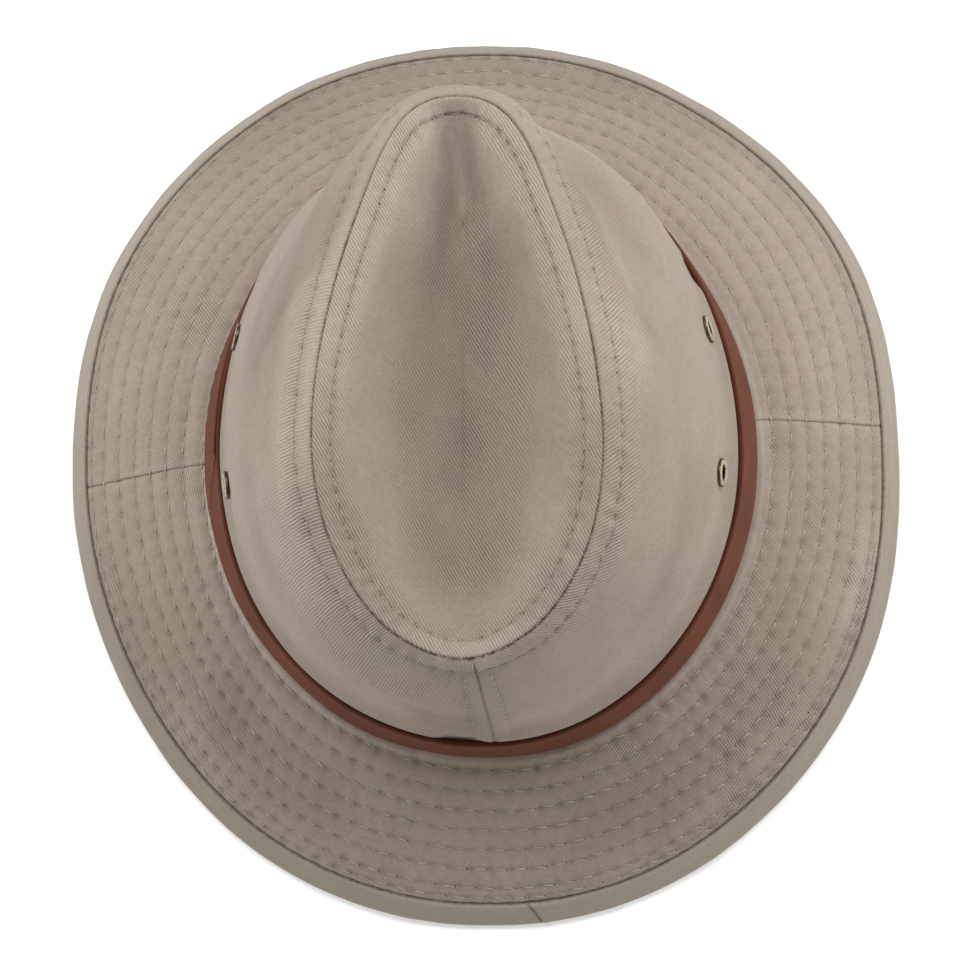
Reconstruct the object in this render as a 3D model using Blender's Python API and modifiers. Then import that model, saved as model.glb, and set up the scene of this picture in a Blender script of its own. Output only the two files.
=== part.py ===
"""Safari hat: a pinched twill crown on a quilted brim, with a leather band and brass eyelets.

Metres, +Z up. The hat rests on its brim edge at z = 0. The front is -Y and the wearer's left is +X.
Angles round the hat start at the front and grow towards the wearer's left.
"""

import math
from collections import namedtuple

import bmesh
import bpy
from mathutils import Matrix, Vector

# Crown: the oval where it meets the brim, and the heights of the tip seam above the brim
CROWN_WIDTH = 0.1765
CROWN_LENGTH = 0.1985
FRONT_HEIGHT = 0.100
SIDE_HEIGHT = 0.104
BACK_HEIGHT = 0.094
WALL = 0.002

# Tip: the egg-shaped seam round the top panel, and the dent along its middle
TIP_WIDTH = 0.0872
TIP_LENGTH = 0.1737
TIP_SHIFT_BACK = -0.0005
DENT_DEPTH = 0.024
DENT_LENGTH = 0.104

# Pinch: how deep the dent is on each side of the front, and the fuller wall on the left
LEFT_PINCH_DEPTH = 0.011
RIGHT_PINCH_DEPTH = 0.012
LEFT_BULGE = 0.0015

# Brim: how far it reaches from the crown, how far it drops, and where its halves are joined
BRIM_REACH_SIDE = 0.0505
BRIM_REACH_ENDS = 0.0520
BRIM_DROP = 0.036
BRIM_THICKNESS = 0.0022
LEFT_SEAM_ANGLE = math.radians(92.0)
RIGHT_SEAM_ANGLE = math.radians(-85.0)

# Binding: the tape folded round the brim's edge
BINDING_WIDTH = 0.0088
BINDING_SLOPE = math.radians(56)
BINDING_THICKNESS = 0.001

# Leather band
BAND_WIDTH = 0.016
BAND_THICKNESS = 0.0018

# Eyelets: the flange, the barrel through the wall and the angles of the four
EYELET_HEIGHT = 0.036
EYELET_FLANGE_RADIUS = 0.0046
EYELET_FLANGE_RISE = 0.0006
EYELET_BARREL_RADIUS = 0.0029
EYELET_HOLE_RADIUS = 0.0023
EYELET_FRONT_ANGLE = math.radians(72)
EYELET_LEFT_BACK_ANGLE = math.radians(101.5)
EYELET_RIGHT_BACK_ANGLE = math.radians(-100.0)

# Clearances between neighbouring pieces
GAP = 0.0003
EYELET_SEAT = 0.0005

# How finely the shapes are divided
COLUMNS = 64
WALL_STEPS = 7
EYELET_SIDES = 16
FLAT_HALF_ANGLE = math.radians(22.5)

# Tip seam by its angle: its half-width as a share of an ellipse's, and how far it leans to the
# wearer's left as a share of the tip's width
OutlineRow = namedtuple("OutlineRow", "degrees width lean")
TIP_OUTLINE = (
    OutlineRow(0, 1.23, 0.015),
    OutlineRow(20, 0.972, 0.015),
    OutlineRow(35, 0.864, 0.012),
    OutlineRow(50, 0.830, 0.0115),
    OutlineRow(70, 0.879, 0.010),
    OutlineRow(90, 0.964, 0.009),
    OutlineRow(110, 1.056, 0.004),
    OutlineRow(130, 1.114, -0.003),
    OutlineRow(150, 1.132, -0.005),
    OutlineRow(180, 0.961, -0.006),
)

# Outline of the crown's foot by its angle, positive to the wearer's left, as a share of an oval's
FootRow = namedtuple("FootRow", "degrees reach")
FOOT_ROWS = (
    FootRow(-180, 1.000),
    FootRow(-155, 1.018),
    FootRow(-130, 1.018),
    FootRow(-105, 1.013),
    FootRow(-85, 1.002),
    FootRow(-65, 0.988),
    FootRow(-50, 0.982),
    FootRow(0, 0.990),
    FootRow(45, 0.978),
    FootRow(65, 0.975),
    FootRow(100, 0.979),
    FootRow(120, 0.988),
    FootRow(140, 0.994),
    FootRow(165, 0.995),
    FootRow(180, 1.000),
)

# Inset of the crown's wall by its height: 0 at the brim and 1 at the tip seam
WallRow = namedtuple("WallRow", "height front corner side back")
WALL_ROWS = (
    WallRow(0.00, 0.00, 0.00, 0.00, 0.00),
    WallRow(0.03, 0.00, 0.00, 0.00, 0.00),
    WallRow(0.17, 0.05, 0.03, 0.11, 0.08),
    WallRow(0.36, 0.11, 0.08, 0.21, 0.19),
    WallRow(0.60, 0.22, 0.19, 0.38, 0.34),
    WallRow(0.80, 0.35, 0.45, 0.57, 0.54),
    WallRow(0.92, 0.47, 0.70, 0.75, 0.73),
    WallRow(0.97, 0.62, 0.84, 0.87, 0.86),
    WallRow(1.00, 1.00, 1.00, 1.00, 1.00),
)

# Where each pinch is: its middle and half its spread round the hat, then as shares of the height
Pinch = namedtuple("Pinch", "depth degrees half_degrees height half_height")
PINCHES = (
    Pinch(LEFT_PINCH_DEPTH, 39, 41, 0.62, 0.28),
    Pinch(RIGHT_PINCH_DEPTH, -39, 41, 0.74, 0.24),
    Pinch(-LEFT_BULGE, 92, 50, 0.45, 0.33),
)

# Depth of the tip's dent, from the middle line to the seam, as a share of the full depth
TipRow = namedtuple("TipRow", "across front corner side back")
TIP_ROWS = (
    TipRow(0.00, 0.75, 0.75, 1.00, 0.62),
    TipRow(0.12, 0.73, 0.68, 0.92, 0.59),
    TipRow(0.25, 0.69, 0.53, 0.78, 0.52),
    TipRow(0.40, 0.60, 0.33, 0.57, 0.39),
    TipRow(0.55, 0.48, 0.16, 0.35, 0.25),
    TipRow(0.72, 0.32, 0.03, 0.13, 0.10),
    TipRow(0.88, 0.14, -0.02, 0.01, 0.01),
    TipRow(1.00, 0.00, 0.00, 0.00, 0.00),
)

# Drop of the brim by its reach, from inside the crown's wall to the binding's seam
BrimRow = namedtuple("BrimRow", "reach drop")
BRIM_ROWS = (
    BrimRow(0.00, 0.00),
    BrimRow(0.09, 0.00),
    BrimRow(0.16, 0.02),
    BrimRow(0.26, 0.095),
    BrimRow(0.50, 0.36),
    BrimRow(0.76, 0.67),
    BrimRow(1.00, 1.00),
)

# Outline of the brim by its angle, positive to the wearer's left, as a share of an oval's
EdgeRow = namedtuple("EdgeRow", "degrees reach")
EDGE_ROWS = (
    EdgeRow(-180, 1.000),
    EdgeRow(-150, 1.015),
    EdgeRow(-120, 1.017),
    EdgeRow(-90, 1.001),
    EdgeRow(-60, 1.031),
    EdgeRow(-30, 1.007),
    EdgeRow(0, 1.000),
    EdgeRow(30, 1.022),
    EdgeRow(60, 1.035),
    EdgeRow(90, 1.000),
    EdgeRow(120, 0.986),
    EdgeRow(150, 0.996),
    EdgeRow(180, 1.000),
)

# Columns of the tables above, by their angle from the front
WALL_STATIONS = (("front", 0), ("corner", 35), ("side", 90), ("back", 180))
TIP_STATIONS = (("front", 0), ("corner", 19), ("side", 90), ("back", 180))

# Sizes that follow from the ones above
BINDING_HALF_THICKNESS = BRIM_THICKNESS / 2 + GAP + BINDING_THICKNESS
EDGE_LIFT = BINDING_HALF_THICKNESS * math.cos(FLAT_HALF_ANGLE)
CROWN_FOOT = BRIM_DROP


def smooth(rows, column, at):
    """Reads a column of a table where its first column is `at`, without overshooting a row."""
    knots = [row[0] for row in rows]
    values = [getattr(row, column) for row in rows]
    steps = [(b - a) / (q - p) for a, b, p, q in zip(values, values[1:], knots, knots[1:])]
    slopes = [steps[0]]
    for before, after in zip(steps, steps[1:]):
        turns = before * after <= 0
        slopes.append(0.0 if turns else 2 * before * after / (before + after))
    slopes.append(steps[-1])
    i = min(max(sum(knot <= at for knot in knots) - 1, 0), len(steps) - 1)
    width = knots[i + 1] - knots[i]
    t = (at - knots[i]) / width
    start = (1 + 2 * t) * (1 - t) ** 2 * values[i] + t * (1 - t) ** 2 * width * slopes[i]
    end = t * t * (3 - 2 * t) * values[i + 1] - t * t * (1 - t) * width * slopes[i + 1]
    return start + end


def turn_from_front(angle):
    """Angle from the front, 0 to 180 degrees on either side."""
    return abs(math.degrees(math.remainder(angle, math.tau)))


def around(rows, stations, at, angle):
    """Reads a table between its columns, which stand at stations from the front to the back."""
    turn = turn_from_front(angle)
    for (near, start), (far, end) in zip(stations, stations[1:]):
        if turn <= end:
            break
    share = (1 - math.cos(math.pi * (turn - start) / (end - start))) / 2
    return (1 - share) * smooth(rows, near, at) + share * smooth(rows, far, at)


def bump(offset, half_width):
    """A smooth bump, 1 in the middle and 0 from half_width on."""
    if abs(offset) >= half_width:
        return 0.0
    return math.cos(math.pi / 2 * offset / half_width) ** 2


def oval(angle, half_width, half_length, height=0.0):
    """A point on an ellipse round the hat."""
    return Vector((half_width * math.sin(angle), -half_length * math.cos(angle), height))


def crown_height(angle):
    """Height of the tip seam above the crown's foot."""
    ends = FRONT_HEIGHT if math.cos(angle) > 0 else BACK_HEIGHT
    return SIDE_HEIGHT + (ends - SIDE_HEIGHT) * math.cos(angle) ** 2


def tip_seam(angle):
    """A point on the seam between the tip and the side panel."""
    turn = turn_from_front(angle)
    width = smooth(TIP_OUTLINE, "width", turn)
    point = oval(angle, width * TIP_WIDTH / 2, TIP_LENGTH / 2, CROWN_FOOT + crown_height(angle))
    point.x += TIP_WIDTH * smooth(TIP_OUTLINE, "lean", turn)
    point.y += TIP_SHIFT_BACK
    return point


def foot_line(angle, inset=0.0):
    """The outside of the crown's foot, or a line at an inset from it, seen from above."""
    turn = math.degrees(math.remainder(angle, math.tau))
    return oval(angle, CROWN_WIDTH / 2 - inset, CROWN_LENGTH / 2 - inset) * smooth(FOOT_ROWS, "reach", turn)


def wall_point(angle, height):
    """A point on the outside of the side panel, at a share of its height."""
    foot = foot_line(angle)
    foot.z = CROWN_FOOT
    top = tip_seam(angle)
    inward = (top - foot).xy.normalized().to_3d()
    point = foot.lerp(top, around(WALL_ROWS, WALL_STATIONS, height, angle))
    point.z = foot.z + (top.z - foot.z) * height
    turn = math.degrees(math.remainder(angle, math.tau))
    for pinch in PINCHES:
        spread = bump(turn - pinch.degrees, pinch.half_degrees)
        point += inward * pinch.depth * spread * bump(height - pinch.height, pinch.half_height)
    return point


def wall_normal(angle, height):
    """The side panel's outward normal."""
    step = 0.01
    along = wall_point(angle + step, height) - wall_point(angle - step, height)
    up = wall_point(angle, height + step) - wall_point(angle, height - step)
    return along.cross(up).normalized()


def tip_point(angle, across):
    """A point on the tip panel, from its middle line (0) to its seam (1)."""
    seam = tip_seam(angle)
    middle = Vector((0.0, TIP_SHIFT_BACK - DENT_LENGTH / 2 * math.cos(angle), seam.z))
    point = middle.lerp(seam, across)
    point.z -= DENT_DEPTH * around(TIP_ROWS, TIP_STATIONS, across, angle)
    return point


def brim_edge(angle):
    """The outermost line of the brim, seen from above."""
    half_width = CROWN_WIDTH / 2 + BRIM_REACH_SIDE
    half_length = CROWN_LENGTH / 2 + BRIM_REACH_ENDS
    turn = math.degrees(math.remainder(angle, math.tau))
    return oval(angle, half_width, half_length) * smooth(EDGE_ROWS, "reach", turn)


def brim_inner(angle):
    """The brim's inner line, under the inside of the crown's wall."""
    return foot_line(angle, WALL)


def brim_place(angle, reach, height):
    """The point at a reach outward from the brim's inner line."""
    inner = brim_inner(angle)
    point = inner + (brim_edge(angle) - inner).normalized() * reach
    point.z = height
    return point


def brim_section(angle):
    """Middle of the brim's thickness at one angle, as (reach, height) from the crown to the edge."""
    reach = (brim_edge(angle) - brim_inner(angle)).length - BINDING_HALF_THICKNESS
    seam_reach = reach - BINDING_WIDTH * math.cos(BINDING_SLOPE)
    top = CROWN_FOOT - GAP - BRIM_THICKNESS / 2
    seam_height = EDGE_LIFT + BINDING_WIDTH * math.sin(BINDING_SLOPE)
    points = [(row.reach * seam_reach, top + (seam_height - top) * row.drop) for row in BRIM_ROWS]
    return points + [(reach, EDGE_LIFT)]


def binding_section(angle, radius):
    """The binding's surface at a radius from the middle of the brim's edge, from its upper seam
    over the edge to its lower seam. Its lowest stretch is level."""
    edge_reach, edge_height = brim_section(angle)[-1]
    upward = math.pi / 2 - BINDING_SLOPE
    turns = [upward, upward / 2 - math.pi / 8, FLAT_HALF_ANGLE - math.pi / 2]
    turns += [-FLAT_HALF_ANGLE - math.pi / 2, upward - math.pi]
    edge = [(edge_reach + radius * math.cos(a), edge_height + radius * math.sin(a)) for a in turns]
    back = BINDING_WIDTH * math.cos(BINDING_SLOPE)
    rise = BINDING_WIDTH * math.sin(BINDING_SLOPE)
    upper = (edge[0][0] - back, edge[0][1] + rise)
    lower = (edge[-1][0] - back, edge[-1][1] + rise)
    return [upper] + edge + [lower]


def clear_scene():
    for old in list(bpy.data.objects):
        bpy.data.objects.remove(old, do_unlink=True)


def make_collection(name):
    collection = bpy.data.collections.new(name)
    bpy.context.scene.collection.children.link(collection)
    return collection


def make_material(name, colour, roughness, metallic=0.0):
    material = bpy.data.materials.new(name)
    material.use_nodes = True
    shader = material.node_tree.nodes["Principled BSDF"]
    shader.inputs["Base Color"].default_value = (*colour, 1.0)
    shader.inputs["Roughness"].default_value = roughness
    shader.inputs["Metallic"].default_value = metallic
    return material


def loft(name, columns, collection, material, closed):
    """An open surface through columns of points, its faces out where the columns go round leftward
    and each column runs from low or outer to high or inner."""
    work = bmesh.new()
    grid = [[work.verts.new(point) for point in column] for column in columns]
    pairs = list(zip(grid, grid[1:]))
    if closed:
        pairs.append((grid[-1], grid[0]))
    for here, there in pairs:
        for k in range(len(here) - 1):
            work.faces.new((here[k], there[k], there[k + 1], here[k + 1]))
    bmesh.ops.remove_doubles(work, verts=work.verts, dist=1e-6)
    mesh = bpy.data.meshes.new(name)
    work.to_mesh(mesh)
    work.free()
    mesh.shade_smooth()
    piece = bpy.data.objects.new(name, mesh)
    piece.data.materials.append(material)
    collection.objects.link(piece)
    return piece


def thicken(piece, thickness, offset):
    """Gives a surface its thickness: offset -1 goes inward, 0 both ways and 1 outward."""
    shell = piece.modifiers.new("thickness", "SOLIDIFY")
    shell.thickness = thickness
    shell.offset = offset
    shell.use_even_offset = False


def all_round():
    return [math.tau * k / COLUMNS for k in range(COLUMNS)]


def wall_heights(angle):
    """Shares of height for the wall's rows: its upright foot, the band's top edge and even steps."""
    band_top = BAND_WIDTH / crown_height(angle)
    steps = [band_top + (1 - band_top) * k / WALL_STEPS for k in range(WALL_STEPS)]
    last = steps[-1]
    return [0.0, 0.03] + steps + [(last + 1) / 2, (last + 3) / 4, 1.0]


def make_crown_side(collection, material):
    """The side panel's edge at the seam is upright, so that the tip meets it a gap away."""
    columns = []
    for angle in all_round():
        heights = wall_heights(angle)
        outside = [wall_point(angle, h) for h in heights]
        inside = [wall_point(angle, h) - WALL * wall_normal(angle, h) for h in heights[:-1]]
        inside.append(outside[-1] - Vector((0.0, 0.0, WALL)))
        columns.append(outside + inside[::-1] + outside[:1])
    return loft("crown_side", columns, collection, material, closed=True)


def make_crown_tip(collection, material):
    """The top panel, with its underside straight below it and a gap to the seam all round."""
    shares = [row.across for row in TIP_ROWS[:-1]]
    columns = []
    for angle in all_round():
        reach = (tip_seam(angle) - tip_point(angle, 0.0)).xy.length
        outside = [tip_point(angle, share) for share in shares + [1 - GAP / reach]]
        inside = [point - Vector((0.0, 0.0, WALL)) for point in outside]
        columns.append(inside + outside[::-1])
    return loft("crown_tip", columns, collection, material, closed=True)


def make_brim_half(name, start, end, collection, material):
    """One half of the brim, between two seams, with half the gap left at each."""
    half_gap = GAP / CROWN_WIDTH
    start += half_gap
    end -= half_gap
    step = math.tau / COLUMNS
    first = math.ceil(start / step + 0.25)
    last = math.floor(end / step - 0.25)
    angles = [start] + [k * step for k in range(first, last + 1)] + [end]
    columns = []
    for angle in angles:
        columns.append([brim_place(angle, *point) for point in reversed(brim_section(angle))])
    half = loft(name, columns, collection, material, closed=False)
    thicken(half, BRIM_THICKNESS, 0)
    return half


def make_binding(collection, material):
    columns = []
    for angle in all_round():
        outer = binding_section(angle, BINDING_HALF_THICKNESS)[::-1]
        inner = binding_section(angle, BINDING_HALF_THICKNESS - BINDING_THICKNESS)
        columns.append([brim_place(angle, *point) for point in outer + inner + outer[:1]])
    return loft("brim_binding", columns, collection, material, closed=True)


def make_band(collection, material):
    """The band follows the wall's lowest rows, a gap away from them."""
    columns = [[wall_point(a, h) for h in wall_heights(a)[:3]] for a in all_round()]
    band = loft("band", columns, collection, material, closed=True)
    thicken(band, BAND_THICKNESS, 1 + 2 * GAP / BAND_THICKNESS)
    return band


def eyelet_matrix(angle):
    """Where an eyelet sits: its axis along the wall's outward normal."""
    height = EYELET_HEIGHT / crown_height(angle)
    turn = wall_normal(angle, height).to_track_quat("Z", "X").to_matrix().to_4x4()
    return Matrix.Translation(wall_point(angle, height)) @ turn


def eyelet_profile():
    """Outline of half an eyelet, (radius, height along its axis), down its outer side."""
    seat = EYELET_SEAT
    inside = -WALL - EYELET_SEAT
    curl_radius = EYELET_FLANGE_RADIUS - EYELET_FLANGE_RISE
    return [
        (EYELET_HOLE_RADIUS, seat + EYELET_FLANGE_RISE / 2),
        ((EYELET_HOLE_RADIUS + EYELET_FLANGE_RADIUS) / 2, seat + EYELET_FLANGE_RISE),
        (EYELET_FLANGE_RADIUS, seat + EYELET_FLANGE_RISE / 3),
        (EYELET_FLANGE_RADIUS, seat),
        (EYELET_BARREL_RADIUS, seat),
        (EYELET_BARREL_RADIUS, inside),
        (curl_radius, inside),
        (curl_radius, inside - EYELET_FLANGE_RISE),
        (EYELET_HOLE_RADIUS, inside - EYELET_FLANGE_RISE),
    ]


def make_eyelet(name, angle, collection, material):
    profile = eyelet_profile()
    mesh = bpy.data.meshes.new(name)
    edges = [(k, (k + 1) % len(profile)) for k in range(len(profile))]
    mesh.from_pydata([(radius, 0.0, height) for radius, height in profile], edges, [])
    eyelet = bpy.data.objects.new(name, mesh)
    eyelet.data.materials.append(material)
    collection.objects.link(eyelet)
    turned = eyelet.modifiers.new("turned", "SCREW")
    turned.steps = EYELET_SIDES
    turned.render_steps = EYELET_SIDES
    turned.use_merge_vertices = True
    turned.merge_threshold = 1e-5
    eyelet.matrix_world = eyelet_matrix(angle)
    return eyelet


def cut_eyelet_hole(side, angle, collection):
    """Cuts the hole for one eyelet's barrel through the side panel."""
    work = bmesh.new()
    radius = EYELET_BARREL_RADIUS + GAP
    bmesh.ops.create_cone(work, cap_ends=True, segments=EYELET_SIDES, radius1=radius,
                          radius2=radius, depth=6 * WALL)
    mesh = bpy.data.meshes.new("eyelet_cutter")
    work.to_mesh(mesh)
    work.free()
    cutter = bpy.data.objects.new("eyelet_cutter", mesh)
    cutter.matrix_world = eyelet_matrix(angle)
    cutter.hide_render = True
    cutter.display_type = "WIRE"
    collection.objects.link(cutter)
    cut = side.modifiers.new("eyelet hole", "BOOLEAN")
    cut.operation = "DIFFERENCE"
    cut.object = cutter


def main():
    clear_scene()
    hat = make_collection("safari_hat")
    cutters = make_collection("cutters")
    twill = make_material("twill", (0.38, 0.32, 0.25), 0.9)
    tape = make_material("binding_tape", (0.34, 0.30, 0.23), 0.85)
    leather = make_material("leather", (0.17, 0.06, 0.035), 0.5)
    brass = make_material("antique_brass", (0.36, 0.27, 0.13), 0.4, metallic=1.0)

    side = make_crown_side(hat, twill)
    make_crown_tip(hat, twill)
    make_brim_half("brim_front", RIGHT_SEAM_ANGLE, LEFT_SEAM_ANGLE, hat, twill)
    make_brim_half("brim_back", LEFT_SEAM_ANGLE, RIGHT_SEAM_ANGLE + math.tau, hat, twill)
    make_binding(hat, tape)
    make_band(hat, leather)

    places = {
        "eyelet_left_front": EYELET_FRONT_ANGLE,
        "eyelet_left_back": EYELET_LEFT_BACK_ANGLE,
        "eyelet_right_front": -EYELET_FRONT_ANGLE,
        "eyelet_right_back": EYELET_RIGHT_BACK_ANGLE,
    }
    for name, angle in places.items():
        make_eyelet(name, angle, hat, brass)
        cut_eyelet_hole(side, angle, cutters)


main()
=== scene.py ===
"""Looks of the safari hat: sewn twill panels, stitches, binding, leather band and brass eyelets.

Metres, +Z up. The front is -Y and the wearer's left is +X. Angles round the hat start at the front
and grow towards the wearer's left. Each panel is a surface that is measured by its angle and by the
distance from one of its seams, so that its relief, its weave and its stitches follow one shape.
"""

import math
from collections import namedtuple

import bmesh
import bpy
import numpy as np
from mathutils import Matrix, Vector
from mathutils.kdtree import KDTree


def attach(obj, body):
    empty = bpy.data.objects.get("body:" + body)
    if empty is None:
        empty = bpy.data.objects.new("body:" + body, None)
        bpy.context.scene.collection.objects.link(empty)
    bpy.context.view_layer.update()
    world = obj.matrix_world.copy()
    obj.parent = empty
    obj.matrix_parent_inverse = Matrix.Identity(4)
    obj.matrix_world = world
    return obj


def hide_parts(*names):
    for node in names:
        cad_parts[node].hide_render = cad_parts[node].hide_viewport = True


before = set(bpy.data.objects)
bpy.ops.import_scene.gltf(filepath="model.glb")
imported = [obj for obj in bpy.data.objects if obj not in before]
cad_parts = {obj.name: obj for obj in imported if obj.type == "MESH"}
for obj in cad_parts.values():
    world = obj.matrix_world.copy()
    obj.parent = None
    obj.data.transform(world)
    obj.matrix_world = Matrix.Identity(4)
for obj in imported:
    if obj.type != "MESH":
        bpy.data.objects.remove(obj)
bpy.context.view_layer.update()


def table(columns, *rows):
    """Rows of values with named columns."""
    row_type = namedtuple("TableRow", columns)
    return tuple(row_type(*row) for row in rows)


# Crown, as in the solids
CROWN_WIDTH = 0.1765
CROWN_LENGTH = 0.1985
FRONT_HEIGHT = 0.100
SIDE_HEIGHT = 0.104
BACK_HEIGHT = 0.094
WALL = 0.002

# Tip and pinch, as in the solids
TIP_WIDTH = 0.0872
TIP_LENGTH = 0.1737
TIP_SHIFT_BACK = -0.0005
DENT_DEPTH = 0.024
DENT_LENGTH = 0.104
LEFT_PINCH_DEPTH = 0.011
RIGHT_PINCH_DEPTH = 0.012
LEFT_BULGE = 0.0015

# Brim, as in the solids
BRIM_REACH_SIDE = 0.0505
BRIM_REACH_ENDS = 0.0520
BRIM_DROP = 0.036
BRIM_THICKNESS = 0.0022
LEFT_SEAM_ANGLE = math.radians(92.0)
RIGHT_SEAM_ANGLE = math.radians(-85.0)

# Binding, band and eyelets, as in the solids
BINDING_WIDTH = 0.0088
BINDING_SLOPE = math.radians(56)
BINDING_THICKNESS = 0.001
BAND_WIDTH = 0.016
BAND_THICKNESS = 0.0018
EYELET_HEIGHT = 0.036
EYELET_FLANGE_RADIUS = 0.0046
EYELET_FLANGE_RISE = 0.0006
EYELET_HOLE_RADIUS = 0.0023
EYELET_SEAT = 0.0005
EYELET_ANGLES = {
    "eyelet_left_front": math.radians(72),
    "eyelet_left_back": math.radians(101.5),
    "eyelet_right_front": math.radians(-72),
    "eyelet_right_back": math.radians(-100),
}
GAP = 0.0003

# How much wider the holes in the cloth are than the eyelets' own
EYELET_HOLE_SPARE = 0.0008

# The band's rounded edges, and its outer end: thinned, narrowed and cut on a slant
BAND_CORNER = 0.0006
BAND_END_THICKNESS = 0.0007
BAND_END_WIDTH = 0.93
BAND_END_INSET = 0.0008
BAND_END_ANGLES = (math.radians(56), math.radians(99))
BAND_END_SLANT = math.radians(13)
BAND_LIE = 0.0008

# The tape's lapped joint, the slant of its end, and its size when it is opened
TAPE_JOINT = math.radians(188.4)
TAPE_SLANT = 0.16
TAPE_LAP = 0.0007
TAPE_THICKNESS = 0.0007
TAPE_RADIUS = 0.14
TAPE_OPEN_WIDTH = 0.022

# Tip seam: how far the cloth rolls into it, its padded strips, and their topstitching and puckers
SEAM_ROLL = 0.0005
SEAM_SINK = 0.0009
SEAM_PADDING = 0.00035
SIDE_TOPSTITCH = 0.00635
TIP_TOPSTITCH = 0.0059
SIDE_ROW_DEPTH = 0.00022
TIP_ROW_DEPTH = 0.00020
SIDE_PUCKER = 0.00020
TIP_PUCKER = 0.00016

# Seam down the back, with the radius of the crown there
BACK_SEAM_ANGLE = math.radians(184.3)
BACK_RADIUS = CROWN_LENGTH * 0.42
BACK_TOPSTITCH = 0.0058
BACK_SEAM_DEPTH = 0.0006
BACK_PADDING = 0.0003
BACK_ROW_DEPTH = 0.00015

# The side panel's bulge over the band, with its notch at the back and its fold at the right
BULGE = 0.0010
NOTCH_DEPTH = 0.0034
NOTCH_DEGREES = 177
NOTCH_HALF_DEGREES = 6.5
FOLD_DEPTH = 0.0026
FOLD_DEGREES = -57
FOLD_HALF_DEGREES = 5

# Stitches: their pitch, the share of it that shows, the thread, how they press into the cloth, and the
# painted shade in the dimples round their holes
BRIM_PITCH = 0.0064
BRIM_SHOWN = 0.54
CROWN_PITCH = 0.0048
CROWN_SHOWN = 0.72
BRIM_THREAD_RADIUS = 0.00029
CROWN_THREAD_RADIUS = 0.00020
BRIM_THREAD_SLANT = 0.00040
CROWN_THREAD_SLANT = 0.00010
GROOVE_WIDTH = 0.0006
HOLE_RADIUS = 0.00023
DIMPLE_ALONG = 0.0012
DIMPLE_ACROSS = 0.0021
BRIM_DIMPLE = 0.00040
CROWN_DIMPLE = 0.00016
BRIM_DIMPLE_SHADE = 0.13
CROWN_DIMPLE_SHADE = 0.20
THREAD_SLIP = 0.00010
THREAD_UNEVEN = 0.00016

# A thread's height over the cloth, by its share of the stitch
THREAD_PATH = ((0.0, -0.00030), (0.14, 0.00006), (0.5, 0.00016), (0.86, 0.00006), (1.0, -0.00030))

# The brim's rows are one spiral, in shares of the way from the binding to the band
ROW_FIRST = 0.036
ROW_STEP = 0.137
ROW_START_TURN = 0.28
ROW_END_TURN = 7.86

# Quilting: the depth of the rows, and how the cloth swells and gathers between and along them
ROW_DEPTH = 0.00026
PUFF = 0.00022
BRIM_PUCKER = 0.00014

# Swell of the brim beside the binding, and the dip at the binding's seam
EDGE_RISE = 0.0007
EDGE_DIP = 0.00035

# Weave: the twill's ribs, and their slope in a flat panel, from straight across the hat
RIB_PITCH = 0.00089
RIB_SLOPE = math.radians(120)
SIDE_CUT_RADIUS = CROWN_LENGTH * 2.24
SIDE_CUT_TURN = 0.154
SIDE_CUT_TILT = 0.20
BRIM_CUT_TURN = 0.83

# How finely the panels are divided
SIDE_COLUMNS = 600
TIP_COLUMNS = 440
BRIM_COLUMNS = 560
BINDING_COLUMNS = 640
BAND_COLUMNS = 420

# Half the step over which a surface's normal is measured
NORMAL_STEP = 0.004

# Outline of the tip by its angle from the front, as shares of the tip's width
TIP_OUTLINE = table(
    "degrees width lean",
    (0, 1.23, 0.015),
    (20, 0.972, 0.015),
    (35, 0.864, 0.012),
    (50, 0.830, 0.0115),
    (70, 0.879, 0.010),
    (90, 0.964, 0.009),
    (110, 1.056, 0.004),
    (130, 1.114, -0.003),
    (150, 1.132, -0.005),
    (180, 0.961, -0.006),
)

# Outline of the crown's foot by its angle, positive to the wearer's left, as a share of an oval's
FOOT_ROWS = table(
    "degrees reach",
    (-180, 1.000),
    (-155, 1.018),
    (-130, 1.018),
    (-105, 1.013),
    (-85, 1.002),
    (-65, 0.988),
    (-50, 0.982),
    (0, 0.990),
    (45, 0.978),
    (65, 0.975),
    (100, 0.979),
    (120, 0.988),
    (140, 0.994),
    (165, 0.995),
    (180, 1.000),
)

# Inset of the crown's wall by its height: 0 at the brim and 1 at the tip seam
WALL_ROWS = table(
    "height front corner side back",
    (0.00, 0.00, 0.00, 0.00, 0.00),
    (0.03, 0.00, 0.00, 0.00, 0.00),
    (0.17, 0.05, 0.03, 0.11, 0.08),
    (0.36, 0.11, 0.08, 0.21, 0.19),
    (0.60, 0.22, 0.19, 0.38, 0.34),
    (0.80, 0.35, 0.45, 0.57, 0.54),
    (0.92, 0.47, 0.70, 0.75, 0.73),
    (0.97, 0.62, 0.84, 0.87, 0.86),
    (1.00, 1.00, 1.00, 1.00, 1.00),
)

# Where each pinch is: its middle and half its spread round the hat, then as shares of the height
PINCHES = table(
    "depth degrees half_degrees height half_height",
    (LEFT_PINCH_DEPTH, 39, 41, 0.62, 0.28),
    (RIGHT_PINCH_DEPTH, -39, 41, 0.74, 0.24),
    (-LEFT_BULGE, 92, 50, 0.45, 0.33),
)

# Depth of the tip's dent, from the middle line to the seam, as a share of the full depth
TIP_ROWS = table(
    "across front corner side back",
    (0.00, 0.75, 0.75, 1.00, 0.62),
    (0.12, 0.73, 0.68, 0.92, 0.59),
    (0.25, 0.69, 0.53, 0.78, 0.52),
    (0.40, 0.60, 0.33, 0.57, 0.39),
    (0.55, 0.48, 0.16, 0.35, 0.25),
    (0.72, 0.32, 0.03, 0.13, 0.10),
    (0.88, 0.14, -0.02, 0.01, 0.01),
    (1.00, 0.00, 0.00, 0.00, 0.00),
)

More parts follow.
